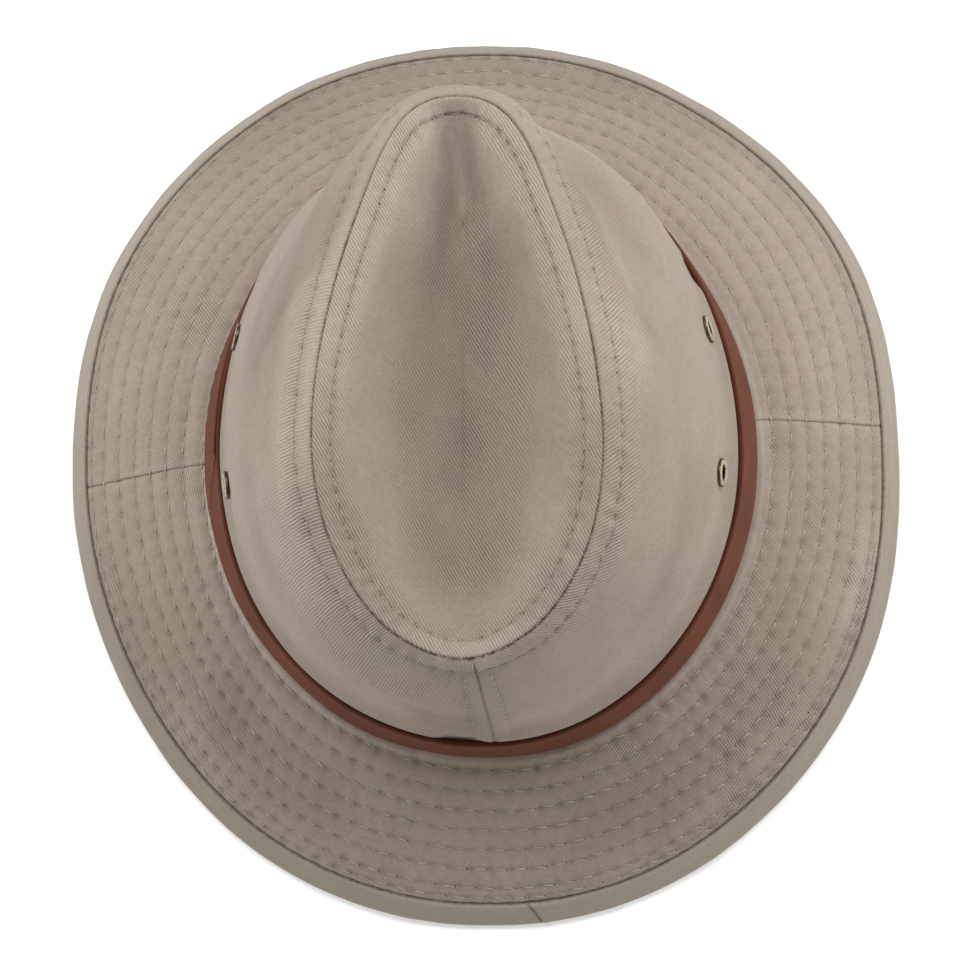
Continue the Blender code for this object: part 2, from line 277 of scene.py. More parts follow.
# Drop of the brim by its reach, from inside the crown's wall to the binding's seam
BRIM_ROWS = table(
    "reach drop",
    (0.00, 0.00),
    (0.09, 0.00),
    (0.16, 0.02),
    (0.26, 0.095),
    (0.50, 0.36),
    (0.76, 0.67),
    (1.00, 1.00),
)

# Outline of the brim by its angle, positive to the wearer's left, as a share of an oval's
EDGE_ROWS = table(
    "degrees reach",
    (-180, 1.000),
    (-150, 1.015),
    (-120, 1.017),
    (-90, 1.001),
    (-60, 1.031),
    (-30, 1.007),
    (0, 1.000),
    (30, 1.022),
    (60, 1.035),
    (90, 1.000),
    (120, 0.986),
    (150, 0.996),
    (180, 1.000),
)

WALL_STATIONS = (("front", 0), ("corner", 35), ("side", 90), ("back", 180))
TIP_STATIONS = (("front", 0), ("corner", 19), ("side", 90), ("back", 180))

# Sizes that follow from the ones above
CROWN_FOOT = BRIM_DROP
BINDING_HALF_THICKNESS = BRIM_THICKNESS / 2 + GAP + BINDING_THICKNESS
EDGE_LIFT = BINDING_HALF_THICKNESS * math.cos(math.radians(22.5))
BRIM_MIDDLE = CROWN_FOOT - GAP - BRIM_THICKNESS / 2
BAND_REACH = WALL + GAP + BAND_THICKNESS

# Camera: where it looks, from how far, and its tilt off straight down to the back and the right
CAMERA_TARGET = Vector((-0.00235, 0.0118, CROWN_FOOT))
CAMERA_DISTANCE = 1.2
CAMERA_TILT = math.radians(13)
CAMERA_ROLL = math.radians(3)
CAMERA_LENS = 136.6

# Studio: soft boxes by their direction from the hat, by degrees from the front to the wearer's left
LAMPS = table(
    "azimuth elevation watts",
    (45, 15, 0.7),
    (90, 15, 8.4),
    (135, 15, 3.7),
    (225, 15, 4.2),
    (270, 15, 8.1),
    (315, 15, 4.9),
    (0, 60, 3.1),
    (45, 60, 10.7),
    (180, 60, 0.6),
    (315, 60, 9.3),
)
LIGHT_SIZE = 0.8
LIGHT_DISTANCE = 1.6
LIGHT_AIM = Vector((0.0, 0.0, 0.06))
WORLD_STRENGTH = 0.02
FLOOR_GLOW = 0.35


# Shapes shared with the solids

def smooth(rows, column, at):
    """Reads a column of a table at many places, without overshooting a row."""
    knots = np.array([row[0] for row in rows], float)
    values = np.array([getattr(row, column) for row in rows], float)
    steps = np.diff(values) / np.diff(knots)
    same_way = steps[:-1] * steps[1:] > 0
    total = np.where(same_way, steps[:-1] + steps[1:], 1.0)
    inner = np.where(same_way, 2 * steps[:-1] * steps[1:] / total, 0.0)
    slopes = np.concatenate([steps[:1], inner, steps[-1:]])
    i = np.clip(np.searchsorted(knots, at, side="right") - 1, 0, len(steps) - 1)
    width = knots[i + 1] - knots[i]
    t = (at - knots[i]) / width
    start = (1 + 2 * t) * (1 - t) ** 2 * values[i] + t * (1 - t) ** 2 * width * slopes[i]
    end = t * t * (3 - 2 * t) * values[i + 1] - t * t * (1 - t) * width * slopes[i + 1]
    return start + end


def wrapped(angle):
    """An angle as -pi to pi from the front."""
    return np.remainder(angle + math.pi, math.tau) - math.pi


def around(rows, stations, at, angle):
    """Reads a table between its columns, which stand at stations from the front to the back."""
    at, turn = np.broadcast_arrays(at, np.abs(np.degrees(wrapped(angle))))
    places = np.array([place for _, place in stations])
    i = np.clip(np.searchsorted(places, turn, side="right") - 1, 0, len(stations) - 2)
    share = (1 - np.cos(math.pi * (turn - places[i]) / (places[i + 1] - places[i]))) / 2
    readings = [smooth(rows, name, at) for name, _ in stations]
    near = np.choose(i, readings[:-1])
    far = np.choose(i, readings[1:])
    return (1 - share) * near + share * far


def bump(offset, half_width):
    """A smooth bump, 1 in the middle and 0 from half_width on."""
    inside = np.clip(np.abs(offset) / half_width, 0, 1)
    return np.cos(math.pi / 2 * inside) ** 2


def sector(angle, degrees, half_degrees):
    """A smooth bump round the hat, about an angle."""
    return bump(wrapped(angle - math.radians(degrees)), math.radians(half_degrees))


def hump(offset, width):
    """A narrow bell, 1 in the middle."""
    return np.exp(-(offset / width) ** 2)


def rise(x, start, end):
    """Goes smoothly from 0 at start to 1 at end."""
    t = np.clip((x - start) / (end - start), 0, 1)
    return t * t * (3 - 2 * t)


def window(x, start, full, fading, gone):
    """Goes smoothly from 0 at start to 1 at full, and back to 0 from fading to gone."""
    return rise(x, start, full) * (1 - rise(x, fading, gone))


def ripple(points, wavelength, seed):
    """Smooth irregular waves through space, about -1 to 1."""
    pick = np.random.default_rng(seed)
    total = np.zeros(points.shape[:-1])
    for _ in range(8):
        way = pick.normal(size=3)
        way *= pick.uniform(0.6, 1.4) / wavelength / np.linalg.norm(way)
        total += np.sin(math.tau * (points @ way + pick.random()))
    return total / 3.2


def stack(x, y, z):
    """Points from their coordinates, which may differ in shape."""
    return np.stack(np.broadcast_arrays(x, y, z), axis=-1)


def unit(ways):
    """The same ways, each of length 1."""
    return ways / np.linalg.norm(ways, axis=-1, keepdims=True)


def turns(count):
    """Even angles round a whole turn."""
    return np.arange(count) * math.tau / count


def oval(angle, half_width, half_length, height=0.0):
    """A point on an oval round the hat's axis."""
    return stack(half_width * np.sin(angle), -half_length * np.cos(angle), height)


def crown_height(angle):
    """Height of the side panel, from its foot to the tip seam."""
    ends = np.where(np.cos(angle) > 0, FRONT_HEIGHT, BACK_HEIGHT)
    return SIDE_HEIGHT + (ends - SIDE_HEIGHT) * np.cos(angle) ** 2


def tip_seam(angle):
    """A point on the seam between the tip and the side panel."""
    turn = np.abs(np.degrees(wrapped(angle)))
    width = smooth(TIP_OUTLINE, "width", turn)
    height = CROWN_FOOT + crown_height(angle)
    point = oval(angle, width * TIP_WIDTH / 2, TIP_LENGTH / 2, height)
    lean = TIP_WIDTH * smooth(TIP_OUTLINE, "lean", turn)
    return point + stack(lean, TIP_SHIFT_BACK, 0.0)


def foot_line(angle, inset=0.0):
    """The outside of the crown's foot, or a line at an inset from it, seen from above."""
    reach = smooth(FOOT_ROWS, "reach", np.degrees(wrapped(angle)))
    return oval(angle, CROWN_WIDTH / 2 - inset, CROWN_LENGTH / 2 - inset) * reach[..., None]


def wall_point(angle, height):
    """A point on the outside of the side panel, at a share of its height."""
    angle, height = np.broadcast_arrays(angle, height)
    foot = foot_line(angle) + stack(0.0, 0.0, CROWN_FOOT)
    top = tip_seam(angle)
    way = (top - foot)[..., :2]
    share = around(WALL_ROWS, WALL_STATIONS, height, angle)[..., None]
    across = foot[..., :2] + way * share
    turn = np.degrees(wrapped(angle))
    for pinch in PINCHES:
        strength = bump(turn - pinch.degrees, pinch.half_degrees)
        strength = strength * bump(height - pinch.height, pinch.half_height)
        across = across + unit(way) * (pinch.depth * strength)[..., None]
    return stack(across[..., 0], across[..., 1], foot[..., 2] + (top - foot)[..., 2] * height)


def tip_point(angle, across):
    """A point on the tip panel, from its middle line (0) to its seam (1)."""
    angle, across = np.broadcast_arrays(angle, across)
    seam = tip_seam(angle)
    middle_y = TIP_SHIFT_BACK - DENT_LENGTH / 2 * np.cos(angle)
    rounded = (np.sqrt(across ** 2 + 0.01) - 0.1) / (math.sqrt(1.01) - 0.1)
    depth = DENT_DEPTH * around(TIP_ROWS, TIP_STATIONS, rounded, angle)
    y = middle_y + (seam[..., 1] - middle_y) * across
    return stack(seam[..., 0] * across, y, seam[..., 2] - depth)


def brim_edge(angle):
    """The outside of the brim's edge, seen from above."""
    half_width = CROWN_WIDTH / 2 + BRIM_REACH_SIDE
    half_length = CROWN_LENGTH / 2 + BRIM_REACH_ENDS
    reach = smooth(EDGE_ROWS, "reach", np.degrees(wrapped(angle)))
    return oval(angle, half_width, half_length) * reach[..., None]


def brim_inner(angle):
    """The inner line of the brim, inside the crown's wall."""
    return foot_line(angle, WALL)


def brim_place(angle, reach, height):
    """The point at a reach outward from the brim's inner line."""
    angle, reach, height = np.broadcast_arrays(angle, reach, height)
    inner = brim_inner(angle)
    point = inner + unit(brim_edge(angle) - inner) * reach[..., None]
    return stack(point[..., 0], point[..., 1], height)


def edge_reach(angle):
    """Reach of the middle of the brim's edge, where the tape turns round it."""
    return np.linalg.norm(brim_edge(angle) - brim_inner(angle), axis=-1) - BINDING_HALF_THICKNESS


def brim_seam(angle):
    """Reach and height of the binding's seam."""
    reach = edge_reach(angle) - BINDING_WIDTH * math.cos(BINDING_SLOPE)
    return reach, EDGE_LIFT + BINDING_WIDTH * math.sin(BINDING_SLOPE)


def brim_point(angle, share):
    """Middle of the brim's thickness, from its inner line (0) to the binding's seam (1) and on."""
    angle, share = np.broadcast_arrays(angle, share)
    seam_reach, seam_height = brim_seam(angle)
    beyond = np.maximum(share - 1, 0) * seam_reach
    drop = smooth(BRIM_ROWS, "drop", np.minimum(share, 1))
    height = BRIM_MIDDLE + (seam_height - BRIM_MIDDLE) * drop
    return brim_place(angle, share * seam_reach, height - beyond * math.tan(BINDING_SLOPE))


# Panels

def runs(lines):
    """Length along each line of points, up to each of its points."""
    steps = np.linalg.norm(np.diff(lines, axis=1), axis=2)
    return np.concatenate([np.zeros((len(lines), 1)), np.cumsum(steps, axis=1)], axis=1)


def nearest(spots, points, count):
    """Numbers of the spots that are nearest to each point."""
    tree = KDTree(len(spots))
    for i, spot in enumerate(spots):
        tree.insert(spot, i)
    tree.balance()
    return np.array([[hit[1] for hit in tree.find_n(point, count)] for point in points])


class Panel:
    """A sewn panel, measured by its angle and by the distance inwards from its seam, on its surface."""

    def __init__(self, name, shape, shares, relief, lift=0.0):
        self.name = name
        self.shape = shape
        self.shares = np.array(shares)
        self.relief = relief
        self.lift = lift
        self.rows = []
        self.dimple = 0.0
        self.tarnish_and_dimple_shade = 0.0

    def runs(self, angles):
        """Length across the panel at each angle, up to each of its shares."""
        return runs(self.shape(angles[:, None], self.shares[None, :]))

    def share(self, angles, distances):
        """Share of the way across at each distance from the seam."""
        found = []
        for run, distance in zip(self.runs(angles), distances):
            seam = np.interp(-1.0, -self.shares, run)
            found.append(np.interp(distance + seam, run, self.shares))
        return np.array(found)

    def length(self, angles, last_share):
        """Distance from the seam to a share of the way across."""
        found = []
        for run, last in zip(self.runs(angles), np.broadcast_to(last_share, angles.shape)):
            found.append(np.interp(-last, -self.shares, run) - np.interp(-1.0, -self.shares, run))
        return np.array(found)

    def bare(self, angles, distances):
        """Points and outward normals of the shape alone."""
        share = self.share(angles, distances)
        wide = angles[:, None]
        level = np.maximum(share, 0.02)
        along = self.shape(wide + NORMAL_STEP, level) - self.shape(wide - NORMAL_STEP, level)
        inwards = self.shape(wide, share - NORMAL_STEP) - self.shape(wide, share + NORMAL_STEP)
        outward = -1 if self.shape is wall_point else 1
        return self.shape(wide, share), outward * unit(np.cross(along, inwards))

    def sew(self, rows, dimple, tarnish_and_dimple_shade):
        """Gives the panel its rows of stitches, which press dimples into its surface, with painted shade in
        them.
        """
        self.rows = rows
        self.dimple = dimple
        self.tarnish_and_dimple_shade = tarnish_and_dimple_shade

    def dimples(self, points):
        """How far each point lies in the dimples round the nearest two needle holes, 0 to about 1."""
        spots = np.concatenate([row.holes for row in self.rows])
        ways = np.concatenate([row.ways for row in self.rows])
        force = np.random.default_rng(len(spots)).uniform(0.45, 1.25, len(spots))
        flat = points.reshape(-1, 3)
        total = np.zeros(len(flat))
        for i in nearest(spots, flat, 2).T:
            offset = flat - spots[i]
            along = (offset * ways[i]).sum(-1)
            across = np.sqrt(np.maximum((offset ** 2).sum(-1) - along ** 2, 0))
            total += force[i] * hump(along, DIMPLE_ALONG) * hump(across, DIMPLE_ACROSS)
        return total.reshape(points.shape[:-1])

    def surface(self, angles, distances):
        """Points with the panel's relief, its outward normals and how much each point is shaded."""
        points, normals = self.bare(angles, distances)
        height, shade = self.relief(angles[:, None], distances, points)
        if self.rows:
            dimples = self.dimples(points)
            height = height - self.dimple * dimples
            # Painted shade in the dimples round the needle holes
            shade = shade + self.tarnish_and_dimple_shade * dimples
        return points + normals * (height + self.lift)[..., None], normals, np.clip(shade, 0, 1)


def line_points(line, length, at):
    """Points on a line at some lengths along it."""
    return np.stack([np.interp(at, length, line[:, k]) for k in range(3)], axis=-1)


class Row:
    """A row of stitches: where each thread comes up and goes down, and the needle holes between."""

    def __init__(self, panel, angles, distances, pitch, shown):
        angles, distances = np.broadcast_arrays(angles, distances)
        line = panel.bare(angles, distances[:, None])[0][:, 0]
        length = runs(line[None])[0]
        up = np.arange(0.5 * pitch, length[-1] - pitch, pitch)
        down = up + shown * pitch
        hidden = up - (1 - shown) / 2 * pitch
        self.panel = panel
        self.up = (np.interp(up, length, angles), np.interp(up, length, distances))
        self.down = (np.interp(down, length, angles), np.interp(down, length, distances))
        self.holes = line_points(line, length, hidden)
        self.ways = unit(line_points(line, length, hidden + 0.001) - self.holes)


def puckers(angle, across, points, count, seed):
    """Gathers that run across a seam's strip, stronger in some stretches than in others."""
    strength = 0.35 + 1.1 * rise(ripple(points, 0.055, seed), -0.2, 0.8)
    back = 1 + 0.4 * bump(np.abs(wrapped(angle)) - math.radians(140), math.radians(38))
    wave = np.sin(count * angle + 2.2 * ripple(points, 0.03, seed + 1) + 130 * across)
    return strength * back * wave


def strip(distance, width):
    """The raised strip over a seam's allowance, from the seam to its topstitching."""
    return window(distance, 0.0002, 0.0012, width - 0.0011, width + 0.0003)


def seam_line(angle, distance):
    """Dark line of the tip seam, which gapes at the back."""
    back = sector(angle, 180, 80)
    return (1 + 0.8 * back) * hump(distance, 0.00030 + 0.00020 * back)


def seam_relief(angle, distance, topstitch, row_depth):
    """Height and shade of the strip along the tip seam, with its row of topstitching."""
    row = hump(distance - topstitch, GROOVE_WIDTH)
    height = SEAM_PADDING * strip(distance, topstitch) - row_depth * row
    height -= SEAM_SINK * np.maximum(1 - distance / SEAM_ROLL, 0) ** 1.5
    return height, seam_line(angle, distance) + 0.30 * row


def back_seam_relief(angle, down, clear):
    """Height and shade of the seam down the back, with its allowances and the rows beside it."""
    beside = BACK_RADIUS * wrapped(angle - BACK_SEAM_ANGLE)
    line = hump(beside, 0.0005) * rise(down, 0.001, 0.004)
    allowance = 1 - rise(np.abs(beside), BACK_TOPSTITCH - 0.001, BACK_TOPSTITCH + 0.0006)
    rows = hump(np.abs(beside) - BACK_TOPSTITCH, GROOVE_WIDTH) * clear * rise(down, 0.007, 0.009)
    height = BACK_PADDING * clear * allowance * rise(np.abs(beside), 0.0003, 0.0012)
    height -= BACK_SEAM_DEPTH * line * (0.35 + 0.65 * clear) + BACK_ROW_DEPTH * rows
    return height, 0.6 * line * (1 - 0.5 * rise(down, 0.012, 0.03)) + 0.15 * rows


def bulge_relief(angle, above):
    """Height of the side panel's bulge, by the height above the band."""
    bulge = bump(above - 0.0045, 0.012) * rise(above, -0.002, 0.002)
    low = 1 - rise(above, 0.003, 0.010)
    notch = NOTCH_DEPTH * low * sector(angle, NOTCH_DEGREES, NOTCH_HALF_DEGREES)
    fold = FOLD_DEPTH * sector(angle, FOLD_DEGREES, FOLD_HALF_DEGREES)
    return bulge * (BULGE - notch - fold)


def side_relief(angle, down, points):
    """Folds and seams of the side panel, by the distance down from the tip seam."""
    above = np.maximum(points[..., 2] - CROWN_FOOT, 0) - BAND_WIDTH
    clear = rise(above, 0, 0.008)
    height, shade = seam_relief(angle, down, SIDE_TOPSTITCH, SIDE_ROW_DEPTH)
    pull = hump(down - 0.0055, 0.0038) * rise(down, 0.0003, 0.002)
    height += SIDE_PUCKER * pull * puckers(angle, down, points, 60, 3)
    height += clear * (0.00030 * ripple(points, 0.055, 11) + 0.00008 * ripple(points, 0.018, 12))
    back_height, back_shade = back_seam_relief(angle, down, clear)
    return height + back_height + bulge_relief(angle, above), shade + back_shade


def tip_relief(angle, inward, points):
    """Folds and seams of the tip, by the distance inwards from its seam."""
    height, shade = seam_relief(angle, inward, TIP_TOPSTITCH, TIP_ROW_DEPTH)
    pull = hump(inward - 0.0050, 0.0034) * rise(inward, 0.0003, 0.002)
    height += TIP_PUCKER * pull * puckers(angle, -inward, points, 64, 23)
    calm = rise(inward, 0.006, 0.016)
    height += calm * (0.00018 * ripple(points, 0.060, 31) + 0.00006 * ripple(points, 0.020, 32))
    return height, shade


def clockwise_turn(angle):
    """Share of a turn from the front, clockwise from above, 0 to 1."""
    return np.remainder(-angle / math.tau, 1.0)


def row_offsets(angle, share):
    """Shares between a place on the brim and its nearest row, and that row's number."""
    laps = (share - ROW_FIRST) / ROW_STEP - clockwise_turn(angle)
    row = np.maximum(np.round(laps), 0)
    spiral = (laps - row) * ROW_STEP
    first = share - ROW_FIRST
    edge_row = (np.abs(first) < np.abs(spiral)) & (clockwise_turn(angle) > ROW_START_TURN)
    return np.where(edge_row, first, spiral), np.where(edge_row, -1, row)


def beside_seam(angle, points, seam):
    """Distance round the hat from one of the brim's two seams."""
    return np.linalg.norm(points[..., :2], axis=-1) * wrapped(angle - seam)


def quilting(angle, offset, row, points):
    """Height of the brim's cloth between and along its rows, which gather it."""
    height = PUFF * (1 - hump(offset, 0.0019)) - ROW_DEPTH * hump(offset, GROOVE_WIDTH)
    wave = np.sin(112 * angle + 2.4 * row + 1.6 * ripple(points, 0.025, 41) + 260 * offset)
    strength = 0.35 + 0.9 * rise(ripple(points, 0.05, 43), -0.3, 0.8)
    height += BRIM_PUCKER * strength * wave * hump(offset, 0.0026)
    return height + 0.00040 * ripple(points, 0.070, 47) + 0.00012 * ripple(points, 0.016, 48)


def brim_relief(angle, inward, points):
    """Stitched rows, puckers and waves of the brim, by the distance inwards from the binding."""
    across = brim_across(angle[:, 0])[:, None]
    offset, row = row_offsets(angle, inward / across)
    offset = offset * across
    on_cloth = rise(inward, 0.0, 0.0012) * (1 - rise(inward / across, 0.97, 1.0))
    height = quilting(angle, offset, row, points) * on_cloth
    height += EDGE_RISE * window(inward, -0.0012, 0.0, 0.0010, 0.0070)
    height -= EDGE_DIP * np.maximum(1 - np.maximum(inward, 0) / 0.0004, 0)
    shade = 0.20 * hump(offset, GROOVE_WIDTH) * on_cloth + 0.8 * hump(inward, 0.0003)
    for seam in (LEFT_SEAM_ANGLE, RIGHT_SEAM_ANGLE):
        beside = beside_seam(angle, points, seam)
        height -= 0.00025 * np.maximum(1 - np.abs(beside) / 0.0005, 0) ** 1.5
        height += 0.00012 * hump(np.abs(beside) - 0.0028, 0.0020) * on_cloth
        shade += 0.32 * hump(beside, 0.0003)
    return height, shade


# Lines of painted shade along the creases of the two pinches: points by degrees round the hat and distance
# down from the tip seam
RIGHT_CREASE = table(
    "degrees down",
    (-84, 0.031),
    (-76, 0.022),
    (-66, 0.014),
    (-54, 0.015),
    (-42, 0.014),
)
LEFT_CREASE = table(
    "degrees down",
    (50, 0.006),
    (60, 0.008),
    (68, 0.012),
    (76, 0.022),
    (84, 0.034),
)
# Strength of the painted shade along the creases
CREASE_PAINTED_SHADE = 0.15


def crease(rows, above, below, angle, down):
    """How near each point is to a crease, with its width above and below."""
    turn = np.degrees(wrapped(angle))
    first, last = rows[0].degrees, rows[-1].degrees
    beside = down - smooth(rows, "down", np.clip(turn, first, last))
    ends = window(turn, first - 6, first + 10, last - 6, last + 14)
    return ends * hump(beside, np.where(beside < 0, above, below))


# Soft patches of painted light and shade on the cloth: the panel, the middle and half of the stretch
# round the hat, then the middle and half of the stretch in from the panel's seam
PAINTED_LIGHT_PATCHES = table(
    "panel degrees half_degrees distance half_distance change",
    ("tip", 50, 52, 0.002, 0.010, 0.34),
    ("tip", -52, 50, 0.002, 0.010, 0.30),
    ("tip", 180, 24, 0.000, 0.006, 0.26),
    ("tip", -145, 25, 0.010, 0.014, 0.07),
    ("tip", 28, 26, 0.019, 0.013, 0.28),
    ("tip", -26, 22, 0.022, 0.014, 0.22),
    ("side", 52, 58, 0.000, 0.0045, 0.20),
    ("side", -52, 50, 0.002, 0.007, 0.16),
    ("side", 180, 16, 0.000, 0.006, 0.20),
    ("side", 88, 26, 0.009, 0.010, 0.16),
    ("side", -76, 20, 0.014, 0.009, 0.14),
    ("side", 52, 36, 0.034, 0.020, -0.17),
    ("side", -50, 16, 0.030, 0.018, -0.14),
    ("side", 180, 100, 0.034, 0.022, -0.09),
    ("side", -118, 20, 0.056, 0.016, -0.14),
    ("side", 175, 10, 0.057, 0.009, -0.20),
    ("side", 120, 18, 0.024, 0.015, 0.14),
    ("brim", 5, 38, 0.004, 0.014, -0.14),
    ("brim", 124, 14, 0.026, 0.014, -0.12),
    ("brim", 145, 14, 0.022, 0.016, -0.12),
    ("brim", -126, 24, 0.024, 0.014, -0.08),
    ("brim", -105, 8, 0.003, 0.007, 0.18),
    ("brim", -168, 12, 0.006, 0.009, 0.08),
    ("brim", -66, 26, 0.014, 0.018, 0.09),
    ("brim", 70, 24, 0.014, 0.020, 0.06),
    ("brim", -120, 11, 0.024, 0.012, -0.01),
    ("brim", -107, 8, 0.015, 0.011, 0.09),
    ("brim", 127, 9, 0.021, 0.010, -0.03),
    ("brim", 118, 9, 0.007, 0.008, -0.11),
    ("brim", -156, 10, 0.022, 0.015, -0.11),
    ("brim", 92, 34, 0.048, 0.006, 0.14),
    ("brim", -96, 34, 0.048, 0.006, 0.14),
)
# Painted shade along the dent's valley and at its front end, and painted light just in front of that end
VALLEY_PAINTED_SHADE = 0.13
VALLEY_FRONT_PAINTED_LIGHT = 0.12
VALLEY_END_PAINTED_SHADE = 0.16
# Painted shade on the side panel's foot, above the band
FOOT_PAINTED_SHADE = 0.19
# Paler strip on the brim along the band: partly the cloth's own paler edge, partly painted light against the
# band's shadow
BAND_FRINGE_AND_PAINTED_LIGHT = 0.46
# Painted light beside the brim's two seams
LEFT_SEAM_PAINTED_LIGHT = 0.06
RIGHT_SEAM_PAINTED_LIGHT = 0.12

# Painted light and shade on the tape, by radians round the hat
TAPE_PAINTED_LIGHT = table(
    "angle half_angle change",
    (-2.9, 0.9, 0.12),
    (2.2, 0.7, -0.12),
    (1.0, 1.0, 0.16),
    (-1.2, 0.6, 0.12),
)


def spread(offset, half):
    """A wide soft spot, 1 in the middle, and half as strong near its half."""
    return 1 - rise(np.abs(offset), 0.5 * half, 1.3 * half)


def tip_painted_light_and_shade(points):
    """Painted shade in the dent's valley and at its front end, and painted light in front of that."""
    x, y = points[..., 0], points[..., 1]
    along = window(y, -0.065, -0.045, 0.010, 0.050)
    end = y - TIP_SHIFT_BACK + DENT_LENGTH / 2
    pale = VALLEY_FRONT_PAINTED_LIGHT * hump(x, 0.008) * (1 - rise(end, -0.010, 0.004))
    return pale - VALLEY_PAINTED_SHADE * hump(x, 0.007) * along - VALLEY_END_PAINTED_SHADE * hump(x, 0.002) * hump(end, 0.004)


def brim_fringe_and_painted_light(angle, inward, points):
    """Painted light beside its two seams, and a paler strip along the band that is partly the cloth's own
    edge and partly painted light.
    """
    across = brim_across(angle[:, 0])[:, None]
    pale = BAND_FRINGE_AND_PAINTED_LIGHT * rise(inward, across - 0.0030, across - 0.0012)
    pale += LEFT_SEAM_PAINTED_LIGHT * hump(beside_seam(angle, points, LEFT_SEAM_ANGLE), 0.0030)
    return pale + RIGHT_SEAM_PAINTED_LIGHT * hump(beside_seam(angle, points, RIGHT_SEAM_ANGLE), 0.0030)


def side_painted_shade(angle, down, points):
    """Painted shade at the foot and in the creases of the pinches."""
    creases = crease(RIGHT_CREASE, 0.0090, 0.0030, angle, down)
    creases += crease(LEFT_CREASE, 0.0030, 0.0110, angle, down)
    return -FOOT_PAINTED_SHADE * (1 - rise(points[..., 2] - CROWN_FOOT, 0.020, 0.042)) - CREASE_PAINTED_SHADE * creases


def painted_light_and_shade(panel, angle, distance, points):
    """Painted light and shade at each point, as a factor on the cloth's colour, about 1."""
    tone = np.ones(distance.shape)
    for patch in PAINTED_LIGHT_PATCHES:
        if patch.panel == panel.name:
            beside = np.degrees(wrapped(angle - math.radians(patch.degrees)))
            inward = distance - patch.distance
            tone += patch.change * spread(beside, patch.half_degrees) * spread(inward, patch.half_distance)
    if panel is tip_panel:
        return tone + tip_painted_light_and_shade(points)
    if panel is brim_panel:
        return tone + brim_fringe_and_painted_light(angle, distance, points)
    return tone + side_painted_shade(angle, distance, points)


side_panel = Panel("side", wall_point, np.linspace(1, 0, 161), side_relief)
tip_panel = Panel("tip", tip_point, np.linspace(1, 0, 121), tip_relief)
brim_shares = np.concatenate([np.linspace(1.06, 1, 7)[:-1], np.linspace(1, 0, 141)])
brim_panel = Panel("brim", brim_point, brim_shares, brim_relief, lift=BRIM_THICKNESS / 2)


def brim_across(angles):
    """Distance on the brim from the binding's seam to the band."""
    reach, _ = brim_seam(angles)
    return brim_panel.length(angles, BAND_REACH / reach)


def sew_rows():
    """Sets out every row of stitches: the brim's spiral, and the topstitching of the crown."""
    spiral = np.linspace(ROW_START_TURN, ROW_END_TURN, 3600)
    angles = -spiral * math.tau
    inward = (ROW_FIRST + ROW_STEP * np.maximum(spiral - 1, 0)) * brim_across(angles)
    brim_panel.sew([Row(brim_panel, angles, inward, BRIM_PITCH, BRIM_SHOWN)], BRIM_DIMPLE, BRIM_DIMPLE_SHADE)

    angles = BACK_SEAM_ANGLE + np.linspace(0.03, math.tau - 0.03, 900)
    rows = [Row(side_panel, angles, SIDE_TOPSTITCH, CROWN_PITCH, CROWN_SHOWN)]
    down = np.linspace(0.008, 0.060, 80)
    for side in (-1, 1):
        beside = BACK_SEAM_ANGLE + side * BACK_TOPSTITCH / BACK_RADIUS
        rows.append(Row(side_panel, beside, down, CROWN_PITCH, CROWN_SHOWN))
    side_panel.sew(rows, CROWN_DIMPLE, CROWN_DIMPLE_SHADE)
    rows = [Row(tip_panel, angles, TIP_TOPSTITCH, CROWN_PITCH, CROWN_SHOWN)]
    tip_panel.sew(rows, CROWN_DIMPLE, CROWN_DIMPLE_SHADE)


# Mesh making

def link(name, data):
    """Adds an object to the scene."""
    thing = bpy.data.objects.new(name, data)
    bpy.context.scene.collection.objects.link(thing)
    return thing


def add_mesh(name, vertices, faces, material, slot, replaces=()):
    """Builds one piece of the hat, and hides the solids of the nodes that it stands for."""
    mesh = bpy.data.meshes.new(name)
    faces = faces if isinstance(faces, list) else faces.tolist()
    mesh.from_pydata(vertices.tolist(), [], faces)
    mesh.shade_smooth()
    piece = link(name, mesh)
    mesh.materials.append(material)
    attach(piece, "root")
    for node in replaces:
        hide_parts(node)
    return piece


def grid_faces(rows, columns, closed=False):
    """Faces of a grid of columns that go leftward, each from low or outer to high or inner."""
    here = np.arange(columns if closed else columns - 1)[:, None] * rows + np.arange(rows - 1)[None, :]
    there = (here + rows) % (columns * rows)
    return np.stack([here, there, there + 1, here + 1], axis=-1).reshape(-1, 4)


def shell_faces(rows, columns, closed=False):
    """Faces of an outer grid, an inner grid after it, and the edges that join them."""
    outer = grid_faces(rows, columns, closed)
    shift = rows * columns
    faces = [outer, outer[:, ::-1] + shift]
    ring = np.arange(columns)
    after = np.roll(ring, -1)
    if not closed:
        ring, after = ring[:-1], after[:-1]
    low = np.stack([ring * rows, ring * rows + shift, after * rows + shift, after * rows], axis=-1)
    faces += [low, (low + rows - 1)[:, ::-1]]
    if not closed:
        k = np.arange(rows - 1)
        start = np.stack([k, k + 1, k + 1 + shift, k + shift], axis=-1)
        faces += [start, (start + (columns - 1) * rows)[:, ::-1]]
    return np.concatenate(faces)


def loop_faces(loops, count, closed=False):
    """Faces between closed loops of points that follow each other."""
    faces = []
    for a in range(loops if closed else loops - 1):
        here = a * count
        there = (a + 1) % loops * count
        for k in range(count):
            after = (k + 1) % count
            faces.append((here + k, there + k, there + after, here + after))
    return faces


def paint(piece, name, values):
    """Stores one number at each vertex, for the materials."""
    layer = piece.data.attributes.new(name, "FLOAT", "POINT")
    layer.data.foreach_set("value", np.asarray(values, np.float32).ravel())


def paint_outside(piece, name, outside, inside):
    """Stores numbers at a shell's outer vertices, and one number at all its inner ones."""
    paint(piece, name, np.concatenate([outside.ravel(), np.full(outside.size, inside)]))


